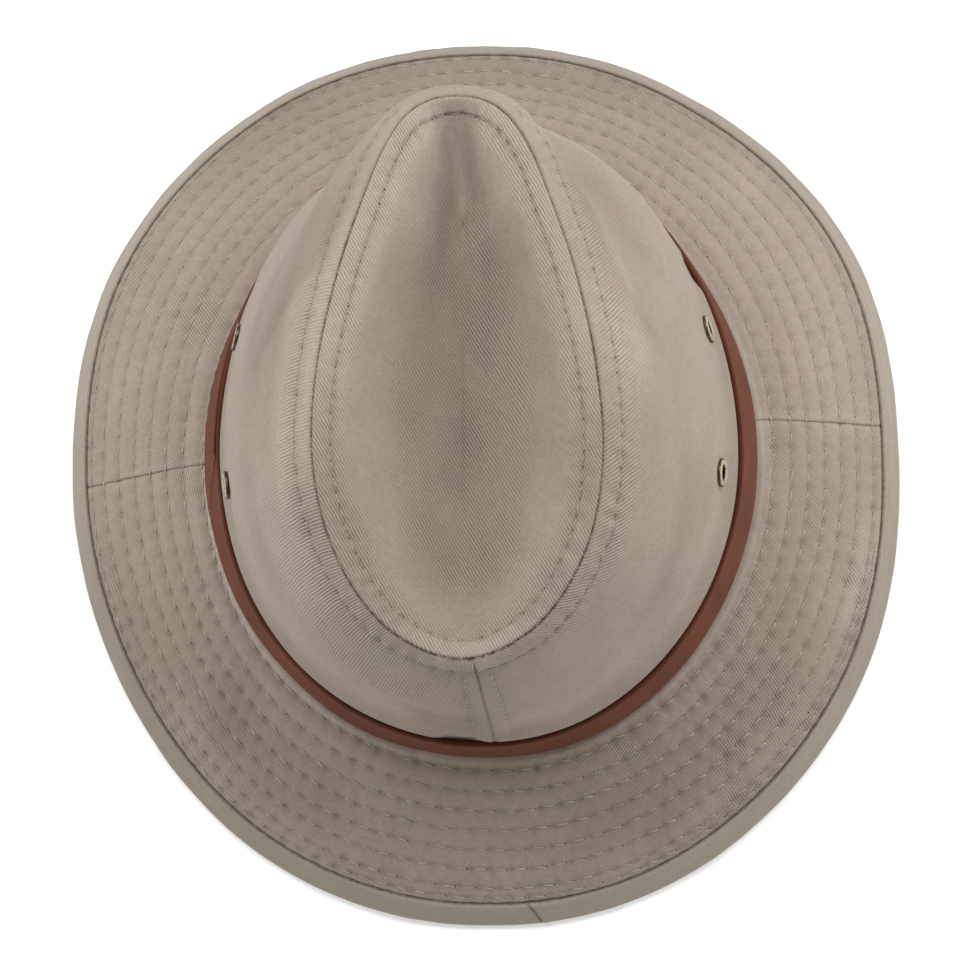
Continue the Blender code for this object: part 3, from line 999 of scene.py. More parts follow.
def polar(radius, turn):
    """Places in the flat cloth, by radius and by turn from the front."""
    return np.stack([radius * np.sin(turn), -radius * np.cos(turn)], axis=-1)


def lay_flat(piece, flat):
    """Stores where a shell's vertices lie in the flat cloth, turned so that U runs across the ribs."""
    flat = np.tile(flat.reshape(-1, 2), (2, 1))
    across = -math.sin(RIB_SLOPE) * flat[:, 0] + math.cos(RIB_SLOPE) * flat[:, 1]
    along = math.cos(RIB_SLOPE) * flat[:, 0] + math.sin(RIB_SLOPE) * flat[:, 1]
    corners = np.zeros(len(piece.data.loops), np.int32)
    piece.data.loops.foreach_get("vertex_index", corners)
    layer = piece.data.uv_layers.new(name="cloth")
    placed = np.stack([across, along], axis=-1)[corners]
    layer.data.foreach_set("uv", placed.astype(np.float32).ravel())


def sew_panel(name, panel, angles, distances, flat, thickness, material, node, closed=False):
    """Builds one panel of cloth as a closed shell. Columns of distances run outwards in."""
    points, normals, shade = panel.surface(angles, distances)
    # Painted light and shade, multiplied into the cloth's colour
    rubbing_and_painted_light = painted_light_and_shade(panel, angles[:, None], distances, points)
    strength = ribs(panel, angles[:, None], points, distances)
    if panel is side_panel:
        points, normals, shade, flat = points[:, ::-1], normals[:, ::-1], shade[:, ::-1], flat[:, ::-1]
        rubbing_and_painted_light, strength = rubbing_and_painted_light[:, ::-1], strength[:, ::-1]
    under = points - normals * thickness
    both = np.concatenate([points.reshape(-1, 3), under.reshape(-1, 3)])
    faces = shell_faces(points.shape[1], len(angles), closed)
    piece = add_mesh(name, both, faces, material, "twill", [node])
    paint_outside(piece, "shade", shade, 0)
    paint(piece, "painted_light_and_shade", np.tile(rubbing_and_painted_light.ravel(), 2))
    paint(piece, "ribs", np.tile(strength.ravel(), 2))
    lay_flat(piece, flat)
    return piece


def tip_ribs(patchy, front, inward):
    """Strength of the tip's ribs: most in its seam's strip and in the dent."""
    beside = 0.9 * (1 - rise(inward, 0.008, 0.014)) + 0.7 * rise(inward, 0.021, 0.031)
    return (0.26 + 0.30 * patchy + beside) * front


def side_ribs(patchy, angle, points, down):
    """Strength of the side panel's ribs: most below its seam's strip, at the back and the left."""
    back = rise(points[..., 1], 0.0, 0.05)
    left = sector(angle, 150, 50)
    strength = 0.6 * (0.26 + 0.30 * patchy) + (0.55 + 0.4 * back) * (1 - rise(down, 0.009, 0.018))
    strength += (0.04 + 1.0 * left) * (1 - rise(down, 0.028, 0.050))
    strength *= 1 - 0.4 * (1 - rise(down, 0.0055, 0.0068))
    return strength * (1 - 0.6 * sector(angle, 0, 85))


def brim_ribs(patchy, front, angle, inward):
    """Strength of the brim's ribs: least in front and beside the band."""
    across = inward[:, -1:]
    strength = (0.26 + 0.50 * patchy) * front + 0.36 * bump(wrapped(angle + 2.2), math.radians(62))
    return strength * (1 - 0.8 * rise(inward, across - 0.0085, across - 0.0055))


def ribs(panel, angle, points, distances):
    """How strongly the twill's ribs stand out: most beside the seams, least where the cloth is taut."""
    patchy = ripple(points, 0.045, 91)
    front = 1 - 0.75 * sector(angle, 0, 34)
    if panel is tip_panel:
        strength = tip_ribs(patchy, front, distances)
    elif panel is side_panel:
        strength = side_ribs(patchy, angle, points, distances)
    else:
        strength = brim_ribs(patchy, front, angle, distances)
    return np.clip(strength * (1 + 0.3 * ripple(points, 0.014, 93)), 0.08, 1.7)


def spaced(*stretches):
    """Numbers through stretches of (start, step), up to the last start."""
    marks = []
    for (start, step), (end, _) in zip(stretches, stretches[1:]):
        count = max(1, round((end - start) / step))
        marks += [start + (end - start) * k / count for k in range(count)]
    return np.array(marks + [stretches[-1][0]])


def spread_rows(near, whole, count):
    """Distances from a seam for each column: the near ones, then even steps over its whole length."""
    steps = np.linspace(0, 1, count)[1:]
    return np.array([np.concatenate([near, near[-1] + (end - near[-1]) * steps]) for end in whole])


# Materials

class Nodes:
    """Adds nodes to a material and links them in the same call."""

    def __init__(self, name):
        self.material = bpy.data.materials.new(name)
        self.material.use_nodes = True
        self.tree = self.material.node_tree
        self.shader = self.tree.nodes["Principled BSDF"]
        self.place = self.add("ShaderNodeTexCoord", output=3)

    def add(self, kind, output=0, settings=None, **inputs):
        """Adds a node and gives one of its outputs."""
        node = self.tree.nodes.new(kind)
        for key, value in (settings or {}).items():
            setattr(node, key, value)
        for key, value in inputs.items():
            self.feed(node, key, value)
        return node.outputs[output]

    def feed(self, node, key, value):
        """Links or sets an input, by its name or by its number after an n."""
        numbered = key[0] == "n" and key[1:].isdigit()
        socket = node.inputs[int(key[1:]) if numbered else key.replace("_", " ")]
        if isinstance(value, bpy.types.NodeSocket):
            self.tree.links.new(value, socket)
        else:
            socket.default_value = value

    def math(self, operation, first, second=0.0, third=0.0):
        settings = {"operation": operation}
        return self.add("ShaderNodeMath", settings=settings, n0=first, n1=second, n2=third)

    def times(self, first, second):
        return self.math("MULTIPLY", first, second)

    def line(self, value, slope, start):
        """A value times a slope, plus a start."""
        return self.math("MULTIPLY_ADD", value, slope, start)

    def total(self, *values):
        """The sum of several values."""
        result = values[0]
        for value in values[1:]:
            result = self.math("ADD", result, value)
        return result

    def noise(self, scale, detail=3.0, roughness=0.5):
        sizes = {"Scale": scale, "Detail": detail, "Roughness": roughness}
        return self.add("ShaderNodeTexNoise", Vector=self.place, **sizes)

    def ramp(self, value, low, high, start, end):
        """Carries a value from low..high to start..end, and no further."""
        ends = {"From_Min": low, "From_Max": high, "To_Min": start, "To_Max": end}
        return self.add("ShaderNodeMapRange", Value=value, **ends)

    def vary(self, noise, low, high):
        """Carries the middle of a noise to low..high."""
        return self.ramp(noise, 0.3, 0.7, low, high)

    def mix(self, factor, first, second, blend="MIX"):
        settings = {"data_type": "RGBA", "blend_type": blend}
        return self.add("ShaderNodeMix", output=2, settings=settings, n0=factor, n6=first, n7=second)

    def attribute(self, name):
        return self.add("ShaderNodeAttribute", output=2, settings={"attribute_name": name})

    def grain(self, height, strength, depth):
        """Fine relief that is shaded and not built."""
        relief = self.add("ShaderNodeBump", Strength=strength, Distance=depth, Height=height)
        self.feed(self.shader, "Normal", relief)

    def finish(self, colour, roughness, **others):
        """Feeds the shader and gives the material."""
        for key, value in {"Base Color": colour, "Roughness": roughness, **others}.items():
            self.feed(self.shader, key, value)
        return self.material


def add_weave(nodes, strength):
    """Slanted ribs of twisted yarn, in the flat cloth."""
    cloth = nodes.tree.nodes.new("ShaderNodeSeparateXYZ")
    nodes.feed(cloth, "Vector", nodes.add("ShaderNodeUVMap", settings={"uv_map": "cloth"}))
    wander = nodes.times(nodes.noise(230.0, 2.0), 0.9)
    across = nodes.line(cloth.outputs[0], 1 / RIB_PITCH, wander)
    ridge = nodes.math("ABSOLUTE", nodes.math("SINE", nodes.times(across, math.pi)))
    ridge = nodes.math("SUBTRACT", ridge, 0.62)
    step = nodes.times(nodes.math("FLOOR", across), 0.37)
    along = nodes.line(cloth.outputs[1], 1 / (RIB_PITCH * 0.9), step)
    yarn = nodes.math("SINE", nodes.times(along, math.tau))
    return nodes.times(nodes.line(yarn, 0.10, ridge), strength)


def make_twill(name, light, dark, relief=1.0, plain=0.0):
    """Cotton twill, uneven in colour, with painted shade in its seams and grooves, and soft patches of
    painted light and shade.
    """
    nodes = Nodes(name)
    weave = add_weave(nodes, nodes.times(nodes.attribute("ribs"), 1 - plain))
    fibre = nodes.noise(2300.0, 3.0, 0.7)
    tone = nodes.total(nodes.line(weave, 1.35, 0.54),
                       nodes.vary(fibre, -0.30, 0.30),
                       nodes.vary(nodes.noise(520.0, 3.0, 0.6), -0.16, 0.16),
                       nodes.vary(nodes.noise(38.0, 4.0, 0.6), -0.12, 0.12))
    colour = nodes.mix(nodes.ramp(tone, 0, 1, 0, 1), (*dark, 1), (*light, 1))
    hue = nodes.ramp(nodes.noise(95.0, 3.0), 0.35, 0.65, 0.0, 0.16)
    colour = nodes.mix(hue, colour, (light[0] * 0.98, light[1] * 0.93, light[2] * 0.93, 1))
    # Painted shade in seams, stitch grooves and the dimples round needle holes, beaded by a fine noise
    bead = nodes.ramp(nodes.noise(760.0, 1.0), 0.36, 0.64, 0.38, 1.10)
    shade = nodes.times(nodes.attribute("shade"), bead)
    colour = nodes.mix(shade, colour, (dark[0] * 0.27, dark[1] * 0.24, dark[2] * 0.21, 1))
    # Painted light and shade, slightly redder where it darkens and bluer where it lightens
    rubbing_and_painted_light = nodes.attribute("painted_light_and_shade")
    red = nodes.math("POWER", rubbing_and_painted_light, 0.92)
    blue = nodes.math("POWER", rubbing_and_painted_light, 1.10)
    painted_tint = nodes.add("ShaderNodeCombineColor", Red=red, Green=rubbing_and_painted_light, Blue=blue)
    colour = nodes.mix(1.0, colour, painted_tint, "MULTIPLY")
    nodes.grain(nodes.line(fibre, 0.6, weave), 0.7 * relief, 0.0003)
    return nodes.finish(colour, 0.88, Specular_IOR_Level=0.22, Sheen_Weight=0.10, Sheen_Roughness=0.5)


def make_leather():
    """Smooth reddish-brown leather with fine pores and a pale edge line, partly its cut edge's own colour and
    partly a painted highlight.
    """
    nodes = Nodes("band_leather")
    fine = nodes.noise(900.0, 4.0, 0.6)
    tone = nodes.total(nodes.vary(nodes.noise(60.0, 4.0, 0.6), 0, 0.7),
                       nodes.vary(fine, 0, 0.3))
    colour = nodes.mix(tone, (0.098, 0.030, 0.014, 1), (0.155, 0.049, 0.025, 1))
    # Pale edge line: the cut edge's own colour, with a painted highlight where the foot catches light
    cut_edge_and_highlight = nodes.ramp(nodes.noise(1400.0, 2.0), 0.35, 0.65, 0.25, 1.0)
    edge = nodes.times(nodes.attribute("cut_edge_and_highlight"), cut_edge_and_highlight)
    colour = nodes.mix(edge, colour, (0.31, 0.155, 0.088, 1))
    cells = nodes.add("ShaderNodeTexVoronoi", Vector=nodes.place, Scale=1500.0)
    nodes.grain(nodes.line(cells, 0.6, nodes.times(fine, 0.6)), 0.35, 0.00015)
    return nodes.finish(colour, nodes.vary(fine, 0.50, 0.66), Specular_IOR_Level=0.14)


def make_brass():
    """Antique brass: dark in its recesses and rubbed bright on its crests."""
    nodes = Nodes("antique_brass_worn")
    tarnish_and_dimple_shade = nodes.noise(900.0, 4.0, 0.65)
    rubbing_and_painted_light = nodes.total(nodes.attribute("crest"), nodes.vary(tarnish_and_dimple_shade, -0.45, 0.25))
    colour = nodes.mix(nodes.ramp(rubbing_and_painted_light, 0.0, 1.0, 0.0, 1.0), (0.13, 0.105, 0.065, 1), (0.66, 0.58, 0.42, 1))
    nodes.grain(tarnish_and_dimple_shade, 0.3, 0.0001)
    return nodes.finish(colour, nodes.vary(tarnish_and_dimple_shade, 0.28, 0.5), Metallic=1.0)


def make_thread(name, dark, light):
    """Spun thread, lighter and darker along its fibres."""
    nodes = Nodes(name)
    fibre = nodes.noise(3500.0, 3.0, 0.7)
    nodes.grain(fibre, 0.5, 0.0001)
    return nodes.finish(nodes.mix(nodes.vary(fibre, 0, 1), (*dark, 1), (*light, 1)), 0.8)


def make_dark(name):
    """Shadow inside a needle hole."""
    nodes = Nodes(name)
    colour = nodes.mix(nodes.noise(3000.0, 2.0), (0.030, 0.024, 0.018, 1), (0.075, 0.060, 0.045, 1))
    return nodes.finish(colour, 0.95)


# Cloth pieces

def make_side(twill):
    """The side panel, with the holes behind its eyelets."""
    angles = np.linspace(BACK_SEAM_ANGLE - math.tau, BACK_SEAM_ANGLE, SIDE_COLUMNS + 1)
    near = spaced((0.0, 0.00022), (0.0011, 0.0006), (0.0047, 0.0004), (0.0072, 0.0009), (0.016, 1))
    distances = spread_rows(near, side_panel.length(angles, 0.0), 46)
    flat = polar(SIDE_CUT_RADIUS + distances, angles[:, None] * SIDE_CUT_TURN + SIDE_CUT_TILT)
    side = sew_panel("crown_side_cloth", side_panel, angles, distances, flat, WALL, twill, "crown_side")
    cut_eyelet_holes(side)


def hole_cutter():
    """Round bars that stand through the wall at the eyelets' holes."""
    radius = EYELET_HOLE_RADIUS + EYELET_HOLE_SPARE
    sides = 32
    vertices, faces = [], []
    for angle in EYELET_ANGLES.values():
        matrix = eyelet_matrix(angle)
        low = list(range(len(vertices), len(vertices) + sides))
        high = [k + sides for k in low]
        for depth in (-0.012, 0.012):
            vertices += [round_axis(matrix, radius, turn, depth) for turn in turns(sides)]
        faces += [low[::-1], high]
        for k in range(sides):
            after = (k + 1) % sides
            faces.append([low[k], low[after], high[after], high[k]])
    mesh = bpy.data.meshes.new("eyelet_cutter")
    mesh.from_pydata(vertices, [], faces)
    return link("eyelet_cutter", mesh)


def cut_eyelet_holes(side):
    """Cuts the holes behind the eyelets through the side panel."""
    cutter = hole_cutter()
    cut = side.modifiers.new("eyelet holes", "BOOLEAN")
    cut.operation = "DIFFERENCE"
    cut.object = cutter
    graph = bpy.context.evaluated_depsgraph_get()
    holed = bpy.data.meshes.new_from_object(side.evaluated_get(graph))
    side.modifiers.clear()
    side.data = holed
    bpy.data.objects.remove(cutter)
    holed.shade_smooth()


def make_tip(twill):
    """The tip, welded along the middle line where its columns meet."""
    angles = turns(TIP_COLUMNS)
    near = spaced((0.0, 0.00022), (0.0011, 0.0006), (0.0044, 0.0004), (0.0068, 0.0010), (0.014, 1))
    distances = spread_rows(near, tip_panel.length(angles, 0.0), 25)
    flat = tip_panel.bare(angles, distances)[0][..., :2]
    name = "crown_tip_cloth"
    tip = sew_panel(name, tip_panel, angles, distances, flat, WALL, twill, "crown_tip", closed=True)
    weld(tip, 0.00006)


def weld(piece, distance):
    """Joins the vertices that meet along the middle line."""
    mesh = bmesh.new()
    mesh.from_mesh(piece.data)
    bmesh.ops.remove_doubles(mesh, verts=mesh.verts, dist=distance)
    bmesh.ops.dissolve_degenerate(mesh, edges=mesh.edges, dist=0.00001)
    mesh.to_mesh(piece.data)
    mesh.free()


def make_brim_half(node, start, end, centre, twill):
    """One half of the brim, between its two seams."""
    angles = np.linspace(start + 0.0004, end - 0.0004, BRIM_COLUMNS)
    reach, _ = brim_seam(angles)
    near = np.array([-0.0018, -0.0009, -0.0003, 0.0, 0.00022, 0.00045, 0.0008, 0.0013])
    distances = spread_rows(near, brim_panel.length(angles, 0.3 * WALL / reach), 75)
    points, _ = brim_panel.bare(angles, distances)
    radius = np.linalg.norm(points[..., :2], axis=-1) / BRIM_CUT_TURN
    flat = polar(radius, centre + wrapped(angles - centre)[:, None] * BRIM_CUT_TURN)
    sew_panel(node + "_cloth", brim_panel, angles, distances, flat, BRIM_THICKNESS, twill, node)


# Binding

def binding_outline():
    """The tape's outside as (out, up) from the middle of the brim's edge, from seam to seam."""
    upward = math.pi / 2 - BINDING_SLOPE
    back = BINDING_WIDTH * math.cos(BINDING_SLOPE)
    up = BINDING_WIDTH * math.sin(BINDING_SLOPE)
    outline = []
    for t in (0, 0.02, 0.04, 0.07, 0.11, 0.17, 0.25, 0.35, 0.48, 0.61, 0.74, 0.87, 1):
        puff = 0.0004 * math.sin(math.pi * min(0.1 + t * 1.4, 1)) - 0.0007 * max(0, 1 - t / 0.05) ** 2
        radius = BINDING_HALF_THICKNESS + puff
        outline.append((radius * math.cos(upward) - back * (1 - t), radius * math.sin(upward) + up * (1 - t)))
    radius = BINDING_HALF_THICKNESS
    for k in range(1, 13):
        turn = upward - math.pi * k / 12
        outline.append((radius * math.cos(turn), radius * math.sin(turn)))
    out, high = outline[-1]
    for k in range(1, 9):
        outline.append((out - back * k / 8, high + up * k / 8))
    return np.array(outline)


def binding_points(angles, outline):
    """The tape's outside, with its swells and its lapped joint, and its inside."""
    along = np.linspace(0, 1, len(outline))
    inner = outline - TAPE_THICKNESS * np.array([math.sin(BINDING_SLOPE), math.cos(BINDING_SLOPE)])
    tilted = angles[:, None] - TAPE_SLANT * (0.45 - along) * 0.5
    middle = edge_reach(tilted)
    points = brim_place(tilted, middle + outline[:, 0], EDGE_LIFT + outline[:, 1])
    under = brim_place(tilted, middle + inner[:, 0], np.maximum(EDGE_LIFT + inner[:, 1], 0.0005))
    swell = 0.00022 * ripple(points, 0.030, 61) + 0.00012 * ripple(points, 0.012, 62)
    swell += TAPE_LAP * hump(angles[:, None] - angles[0], 0.006)
    swell *= np.sin(math.pi * np.clip(along * 1.9, 0, 1))
    outward = unit(stack(np.sin(angles), -np.cos(angles), 1.2))
    points = points + outward[:, None, :] * swell[..., None]
    points[..., 2] = np.maximum(points[..., 2], 0.00002)
    return points, under


def paint_binding(piece, angles, outline):
    """Paints shade on the tape at its seam and its joint, a painted highlight along its seam's lip and at its
    lapped end, and painted light and shade in places.
    """
    turn = angles[:, None]
    inwards = np.linalg.norm(outline - outline[0], axis=1)
    dark = 0.6 * hump(inwards, 0.00028) + 0.7 * hump(turn - TAPE_JOINT, 0.003)
    paint_outside(piece, "shade", np.minimum(dark, 1)[:, ::-1], 0)
    # Painted highlights along the seam's lip and at the lapped end, then painted light and shade in places
    tone = 1 + 0.12 * hump(inwards - 0.0008, 0.0006) + 0.16 * hump(turn - angles[0] - 0.004, 0.004)
    for painted_patch in TAPE_PAINTED_LIGHT:
        tone += painted_patch.change * bump(wrapped(turn - painted_patch.angle), painted_patch.half_angle)
    paint_outside(piece, "painted_light_and_shade", tone[:, ::-1], 1)


def make_binding(tape):
    """The folded tape round the brim's edge."""
    outline = binding_outline()
    angles = np.linspace(TAPE_JOINT - math.tau, TAPE_JOINT, BINDING_COLUMNS + 1)
    sheets = np.concatenate([sheet[:, ::-1].reshape(-1, 3) for sheet in binding_points(angles, outline)])
    faces = shell_faces(len(outline), len(angles))
    piece = add_mesh("brim_binding_tape", sheets, faces, tape, "binding_tape", ["brim_binding"])
    paint_binding(piece, angles, outline)
    along = np.linspace(0, TAPE_OPEN_WIDTH, len(outline))
    lay_flat(piece, np.stack(np.broadcast_arrays(angles[:, None] * TAPE_RADIUS, along), axis=-1)[:, ::-1])


# Leather band

def corner(out, up, start):
    """Points round a quarter turn of the band's edge, whose middle is at (out, up)."""
    steps = [start + math.pi / 2 * k / 6 for k in range(7)]
    return [(out + BAND_CORNER * math.cos(turn), up + BAND_CORNER * math.sin(turn)) for turn in steps]


def band_outline(thickness):
    """The band's section as (outward, height), from its inner foot round its outside to its inner top."""
    outline = [(0.0, 0.0)] + corner(thickness - BAND_CORNER, BAND_CORNER, -math.pi / 2)
    for k in range(1, 12):
        belly = 0.00025 * math.sin(math.pi * k / 12)
        outline.append((thickness + belly, BAND_CORNER + (BAND_WIDTH - 2 * BAND_CORNER) * k / 12))
    outline += corner(thickness - BAND_CORNER, BAND_WIDTH - BAND_CORNER, 0.0)
    return np.array(outline + [(0.0, BAND_WIDTH)])


def band_surface(angles, outward, lift):
    """Points at an outward offset and a height on the crown's foot."""
    height = lift / crown_height(angles)[:, None]
    wide = angles[:, None]
    level = np.maximum(height, NORMAL_STEP)
    along = wall_point(wide + NORMAL_STEP, height) - wall_point(wide - NORMAL_STEP, height)
    up = wall_point(wide, level + NORMAL_STEP) - wall_point(wide, level - NORMAL_STEP)
    return wall_point(wide, height) + unit(np.cross(along, up)) * (GAP + outward)[..., None]


def make_band(leather):
    """The leather strap round the foot of the crown, with a lip along its foot at the left."""
    outline = band_outline(BAND_THICKNESS)
    out, up = outline.T
    angles = turns(BAND_COLUMNS)
    sides = sector(angles, 97, 42)[:, None]
    lip = 0.0010 * rise(0.0032 - up, 0.0, 0.0022) * (out > 0) - 0.0003 * hump(up - 0.0036, 0.0007)
    outward = out + sides * lip
    lift = np.tile(up, (BAND_COLUMNS, 1))
    uneven = 0.00025 * ripple(band_surface(angles, outward, lift), 0.05, 71) * (out > 0)
    points = band_surface(angles, outward + uneven, lift)
    faces = loop_faces(BAND_COLUMNS, len(outline), closed=True)
    piece = add_mesh("leather_band", points.reshape(-1, 3), faces, leather, "leather", ["band"])
    # A pale line along the foot, widest at the left: partly the cut edge's own colour and partly a painted
    # highlight
    left = sector(angles, 88, 34)[:, None]
    foot = hump(up, 0.0006 + 0.0012 * left) * (out > BAND_THICKNESS * 0.5)
    paint(piece, "cut_edge_and_highlight", foot * (0.75 - 0.2 * left))


def make_band_end(leather):
    """The band's outer end, which laps over its start and is cut on a slant."""
    outline = band_outline(BAND_END_THICKNESS)
    outline[:, 1] = BAND_END_INSET + outline[:, 1] * BAND_END_WIDTH
    count = len(outline)
    steps = 60
    share = np.linspace(0, 1, steps)[:, None]
    slant = (outline[:, 1] / BAND_WIDTH - 0.5) * BAND_END_SLANT
    placed = np.linspace(*BAND_END_ANGLES, steps)[:, None] - share ** 3 * slant
    out = BAND_THICKNESS + BAND_LIE * (rise(share, 0.0, 0.5) - 1) + outline[:, 0]
    columns = []
    for k in range(count):
        lift = np.full((steps, 1), outline[k, 1])
        columns.append(band_surface(placed[:, k], out[:, k:k + 1], lift)[:, 0])
    points = np.stack(columns, axis=1)
    first = list(range(count))
    last = [(steps - 1) * count + k for k in reversed(first)]
    faces = loop_faces(steps, count) + [first, last]
    piece = add_mesh("leather_band_end", points.reshape(-1, 3), faces, leather, "leather")
    cut_edge_and_highlight = np.zeros((steps, count))
    cut_edge_and_highlight[-1] = 0.8
    paint(piece, "cut_edge_and_highlight", cut_edge_and_highlight)


# Eyelets

def eyelet_matrix(angle):
    """Where an eyelet sits: its axis along the wall's outward normal."""
    at = np.array([angle])
    share = EYELET_HEIGHT / crown_height(at)
    point = wall_point(at, share)[0]
    along = wall_point(at + 0.01, share)[0] - wall_point(at - 0.01, share)[0]
    up = wall_point(at, share + 0.01)[0] - wall_point(at, share - 0.01)[0]
    normal = Vector(np.cross(along, up).tolist()).normalized()
    turn = normal.to_track_quat("Z", "X").to_matrix().to_4x4()
    return Matrix.Translation(Vector(point.tolist())) @ turn


def round_axis(matrix, radius, turn, height):
    """A point round an eyelet's axis."""
    return tuple(matrix @ Vector((radius * math.cos(turn), radius * math.sin(turn), height)))


def eyelet_outline():
    """Radius, height and rubbing along the eyelet's section, from inside the hat out through its roll."""
    inside = -WALL - EYELET_SEAT
    middle = (EYELET_HOLE_RADIUS + EYELET_FLANGE_RADIUS) / 2
    half = (EYELET_FLANGE_RADIUS - EYELET_HOLE_RADIUS) / 2
    rows = [(middle + 0.0006, inside - 0.0002, 0.1), (middle, inside - 0.0007, 0.4)]
    rows += [(EYELET_HOLE_RADIUS, inside - 0.0003, 0.2), (EYELET_HOLE_RADIUS, EYELET_SEAT, 0.0)]
    for k in range(13):
        turn = math.pi - math.pi * k / 12
        height = EYELET_SEAT + EYELET_FLANGE_RISE * math.sin(turn)
        rows.append((middle + half * math.cos(turn), height, math.sin(turn) ** 2))
    rows.append((EYELET_FLANGE_RADIUS - 0.0001, EYELET_SEAT - 0.0006, 0.0))
    return rows


def make_eyelet(name, angle, brass):
    """One eyelet, turned from its section."""
    rows = eyelet_outline()
    sides = 40
    matrix = eyelet_matrix(angle)
    vertices = []
    for turn in turns(sides):
        vertices += [round_axis(matrix, radius, turn, height) for radius, height, _ in rows]
    faces = grid_faces(len(rows), sides, closed=True)
    piece = add_mesh(name + "_ring", np.array(vertices), faces, brass, "antique_brass", [name])
    paint(piece, "crest", [rubbing_and_painted_light for _, _, rubbing_and_painted_light in rows] * sides)


# Stitches

def tube_along(path, radius, sides=6):
    """Vertices and faces of a thin tube with pointed ends along a few points."""
    vertices, faces = [], []
    path = [Vector(p) for p in path]
    last = len(path) - 1
    side = (path[-1] - path[0]).orthogonal().normalized()
    for i, point in enumerate(path):
        way = (path[min(i + 1, last)] - path[max(i - 1, 0)]).normalized()
        side = (side - way * side.dot(way)).normalized()
        other = way.cross(side)
        size = radius * (0.45 if i in (0, last) else 1.0)
        vertices += [point + size * (math.cos(turn) * side + math.sin(turn) * other) for turn in turns(sides)]
    for here in range(0, last * sides, sides):
        for k in range(sides):
            after = (k + 1) % sides
            faces.append((here + k, here + after, here + sides + after, here + sides + k))
    return vertices, faces


def sew_row(row, radius, lean, pick, threads, holes):
    """Adds the stitches of one row, each a thread that dips into the cloth at both ends."""
    slip = pick.normal(0, THREAD_SLIP, size=(2, len(row.up[0])))
    slant = pick.normal(lean, THREAD_UNEVEN, size=len(row.up[0]))
    paths = []
    for share, height in THREAD_PATH:
        angles = row.up[0] + share * (row.down[0] - row.up[0])
        depths = row.up[1] + share * (row.down[1] - row.up[1])
        depths = depths + slip[0] * (1 - share) + slip[1] * share + slant * (share - 0.5)
        points, normals, _ = row.panel.surface(angles, depths[:, None])
        paths.append(points[:, 0] + normals[:, 0] * height)
    for path in np.stack(paths, axis=1):
        threads.append(tube_along(path.tolist(), radius * pick.uniform(0.60, 1.15)))
    points, normals, _ = row.panel.surface(row.up[0], row.up[1][:, None])
    for point, normal, way in zip(points[:, 0], normals[:, 0], row.ways):
        holes.append((Vector(point), Vector(normal), Vector(way), pick.uniform(0.6, 1.1)))


def merged(parts):
    """Vertices and faces of several meshes as one."""
    vertices, faces = [], []
    for part_vertices, part_faces in parts:
        start = len(vertices)
        vertices += [tuple(v) for v in part_vertices]
        faces += [tuple(start + i for i in face) for face in part_faces]
    return np.array(vertices), np.array(faces)


def hole_discs(holes, radius):
    """Small discs of painted shadow where the needle went in."""
    vertices, faces = [], []
    for point, normal, way, size in holes:
        other = normal.cross(way)
        start = len(vertices)
        for turn in turns(8):
            spot = point + (1.35 * math.cos(turn) * way + 0.8 * math.sin(turn) * other) * (radius * size)
            vertices.append(tuple(spot + normal * 0.00012))
        faces += [(start, start + k, start + k + 1) for k in range(1, 7)]
    return np.array(vertices), np.array(faces)


def make_stitches(name, panel, radius, lean, thread, shadow, seed):
    """All threads and needle holes of a panel's rows."""
    pick = np.random.default_rng(seed)
    threads, holes = [], []
    for row in panel.rows:
        sew_row(row, radius, lean, pick, threads, holes)
    add_mesh(name + "_stitches", *merged(threads), thread, "twill")
    add_mesh(name + "_needle_holes", *hole_discs(holes, HOLE_RADIUS), shadow, "twill")


# Where loose threads lie: the panel, the angle, the distance from its seam, the length and the way
LINT = table(
    "panel degrees distance length way",
    ("side", 22, 0.0040, 0.0030, 70),
    ("side", -24, 0.0035, 0.0026, 130),
    ("side", -130, 0.0050, 0.0044, 80),
    ("side", -151, 0.0022, 0.0030, 100),
    ("tip", -139, 0.0050, 0.0022, 60),
    ("brim", -171, 0.0050, 0.0060, 35),
)


def lint_path(lint, panel):
    """A short curl of thread on a panel."""
    middle, normal, _ = panel.surface(np.radians([lint.degrees]), np.array([[lint.distance]]))
    up = Vector(normal[0, 0])
    way = Matrix.Rotation(math.radians(lint.way), 3, up) @ Vector((1.0, 0.0, 0.0))
    way = (way - up * way.dot(up)).normalized()
    aside = up.cross(way)
    path = []
    for k in range(7):
        t = k / 6 - 0.5
        bend = 0.22 * lint.length * math.cos(math.pi * t)
        path.append(Vector(middle[0, 0]) + lint.length * t * way + bend * aside + 0.0004 * up)
    return path


def make_lint(thread):
    """A few loose ends of thread, curled on the cloth."""
    panels = {panel.name: panel for panel in (side_panel, tip_panel, brim_panel)}
    parts = [tube_along(lint_path(lint, panels[lint.panel]), 0.00011) for lint in LINT]
    add_mesh("loose_threads", *merged(parts), thread, "twill")


# Stage

def make_floor():
    """A pale floor that glows a little."""
    size = 3.0
    mesh = bpy.data.meshes.new("floor")
    corners = [(-size, -size, 0.0), (size, -size, 0.0), (size, size, 0.0), (-size, size, 0.0)]
    mesh.from_pydata(corners, [], [(0, 1, 2, 3)])
    nodes = Nodes("pale_floor")
    colour = nodes.mix(nodes.noise(3.0), (0.90, 0.90, 0.90, 1), (0.92, 0.92, 0.92, 1))
    glow = {"Emission_Color": (1, 1, 1, 1), "Emission_Strength": FLOOR_GLOW}
    mesh.materials.append(nodes.finish(colour, 0.9, Specular_IOR_Level=0.0, **glow))
    link("floor", mesh)


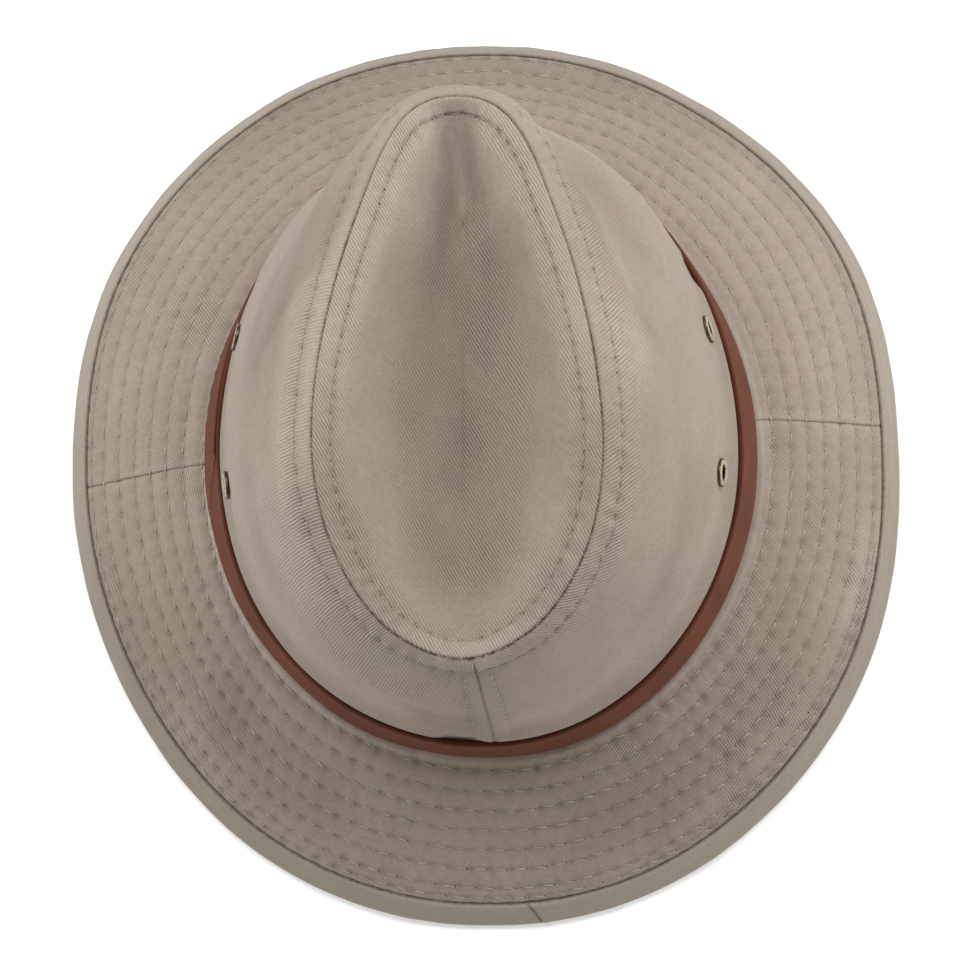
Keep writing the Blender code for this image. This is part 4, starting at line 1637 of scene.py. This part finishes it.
def add_light(name, lamp):
    """A round soft box that faces the hat."""
    azimuth, elevation = math.radians(lamp.azimuth), math.radians(lamp.elevation)
    level = math.cos(elevation)
    way = Vector((math.sin(azimuth) * level, -math.cos(azimuth) * level, math.sin(elevation)))
    light = bpy.data.lights.new(name, "AREA")
    light.shape = "DISK"
    light.size = LIGHT_SIZE
    light.energy = lamp.watts
    box = link(name, light)
    box.location = LIGHT_AIM + LIGHT_DISTANCE * way
    box.rotation_euler = (-way).to_track_quat("-Z", "Y").to_euler()


def light_scene():
    """A dim world, and soft boxes all round."""
    world = bpy.data.worlds.new("studio")
    world.use_nodes = True
    background = world.node_tree.nodes["Background"]
    background.inputs["Color"].default_value = (1, 1, 1, 1)
    background.inputs["Strength"].default_value = WORLD_STRENGTH
    bpy.context.scene.world = world
    for i, lamp in enumerate(LAMPS):
        add_light(f"soft_box_{i}", lamp)
    bpy.context.scene.view_settings.view_transform = "Standard"


def make_camera():
    """Looks down on the hat, with its front towards the top of the picture."""
    back = Vector((-math.sin(CAMERA_ROLL), math.sin(CAMERA_TILT) * math.cos(CAMERA_ROLL),
                   math.cos(CAMERA_TILT) * math.cos(CAMERA_ROLL)))
    front = Vector((0.0, -1.0, 0.0))
    up = (front - front.dot(back) * back).normalized()
    matrix = Matrix((up.cross(back), up, back)).transposed().to_4x4()
    matrix.translation = CAMERA_TARGET + back * CAMERA_DISTANCE
    camera = link("camera", bpy.data.cameras.new("camera"))
    camera.data.lens = CAMERA_LENS
    camera.data.sensor_width = 36.0
    camera.data.clip_end = 20.0
    camera.matrix_world = matrix
    bpy.context.scene.camera = camera


def dress_hat():
    """Builds every visible piece of the hat."""
    sew_rows()
    twill = make_twill("khaki_twill", (0.405, 0.337, 0.274), (0.252, 0.205, 0.163))
    tape = make_twill("khaki_tape", (0.342, 0.298, 0.240), (0.268, 0.229, 0.182), relief=0.6, plain=0.8)
    leather = make_leather()
    brass = make_brass()
    make_side(twill)
    make_tip(twill)
    make_brim_half("brim_front", RIGHT_SEAM_ANGLE, LEFT_SEAM_ANGLE, 0.0, twill)
    make_brim_half("brim_back", LEFT_SEAM_ANGLE, RIGHT_SEAM_ANGLE + math.tau, math.pi, twill)
    make_binding(tape)
    make_band(leather)
    make_band_end(leather)
    for name, angle in EYELET_ANGLES.items():
        make_eyelet(name, angle, brass)

    pale = make_thread("brim_thread", (0.32, 0.275, 0.225), (0.50, 0.44, 0.37))
    thread = make_thread("crown_thread", (0.34, 0.29, 0.23), (0.50, 0.44, 0.36))
    shadow = make_dark("needle_hole_shadow")
    make_stitches("brim", brim_panel, BRIM_THREAD_RADIUS, BRIM_THREAD_SLANT, pale, shadow, 7)
    make_stitches("crown_side", side_panel, CROWN_THREAD_RADIUS, CROWN_THREAD_SLANT, thread, shadow, 8)
    make_stitches("crown_tip", tip_panel, CROWN_THREAD_RADIUS, CROWN_THREAD_SLANT, thread, shadow, 9)
    make_lint(pale)


make_camera()
make_floor()
light_scene()
dress_hat()
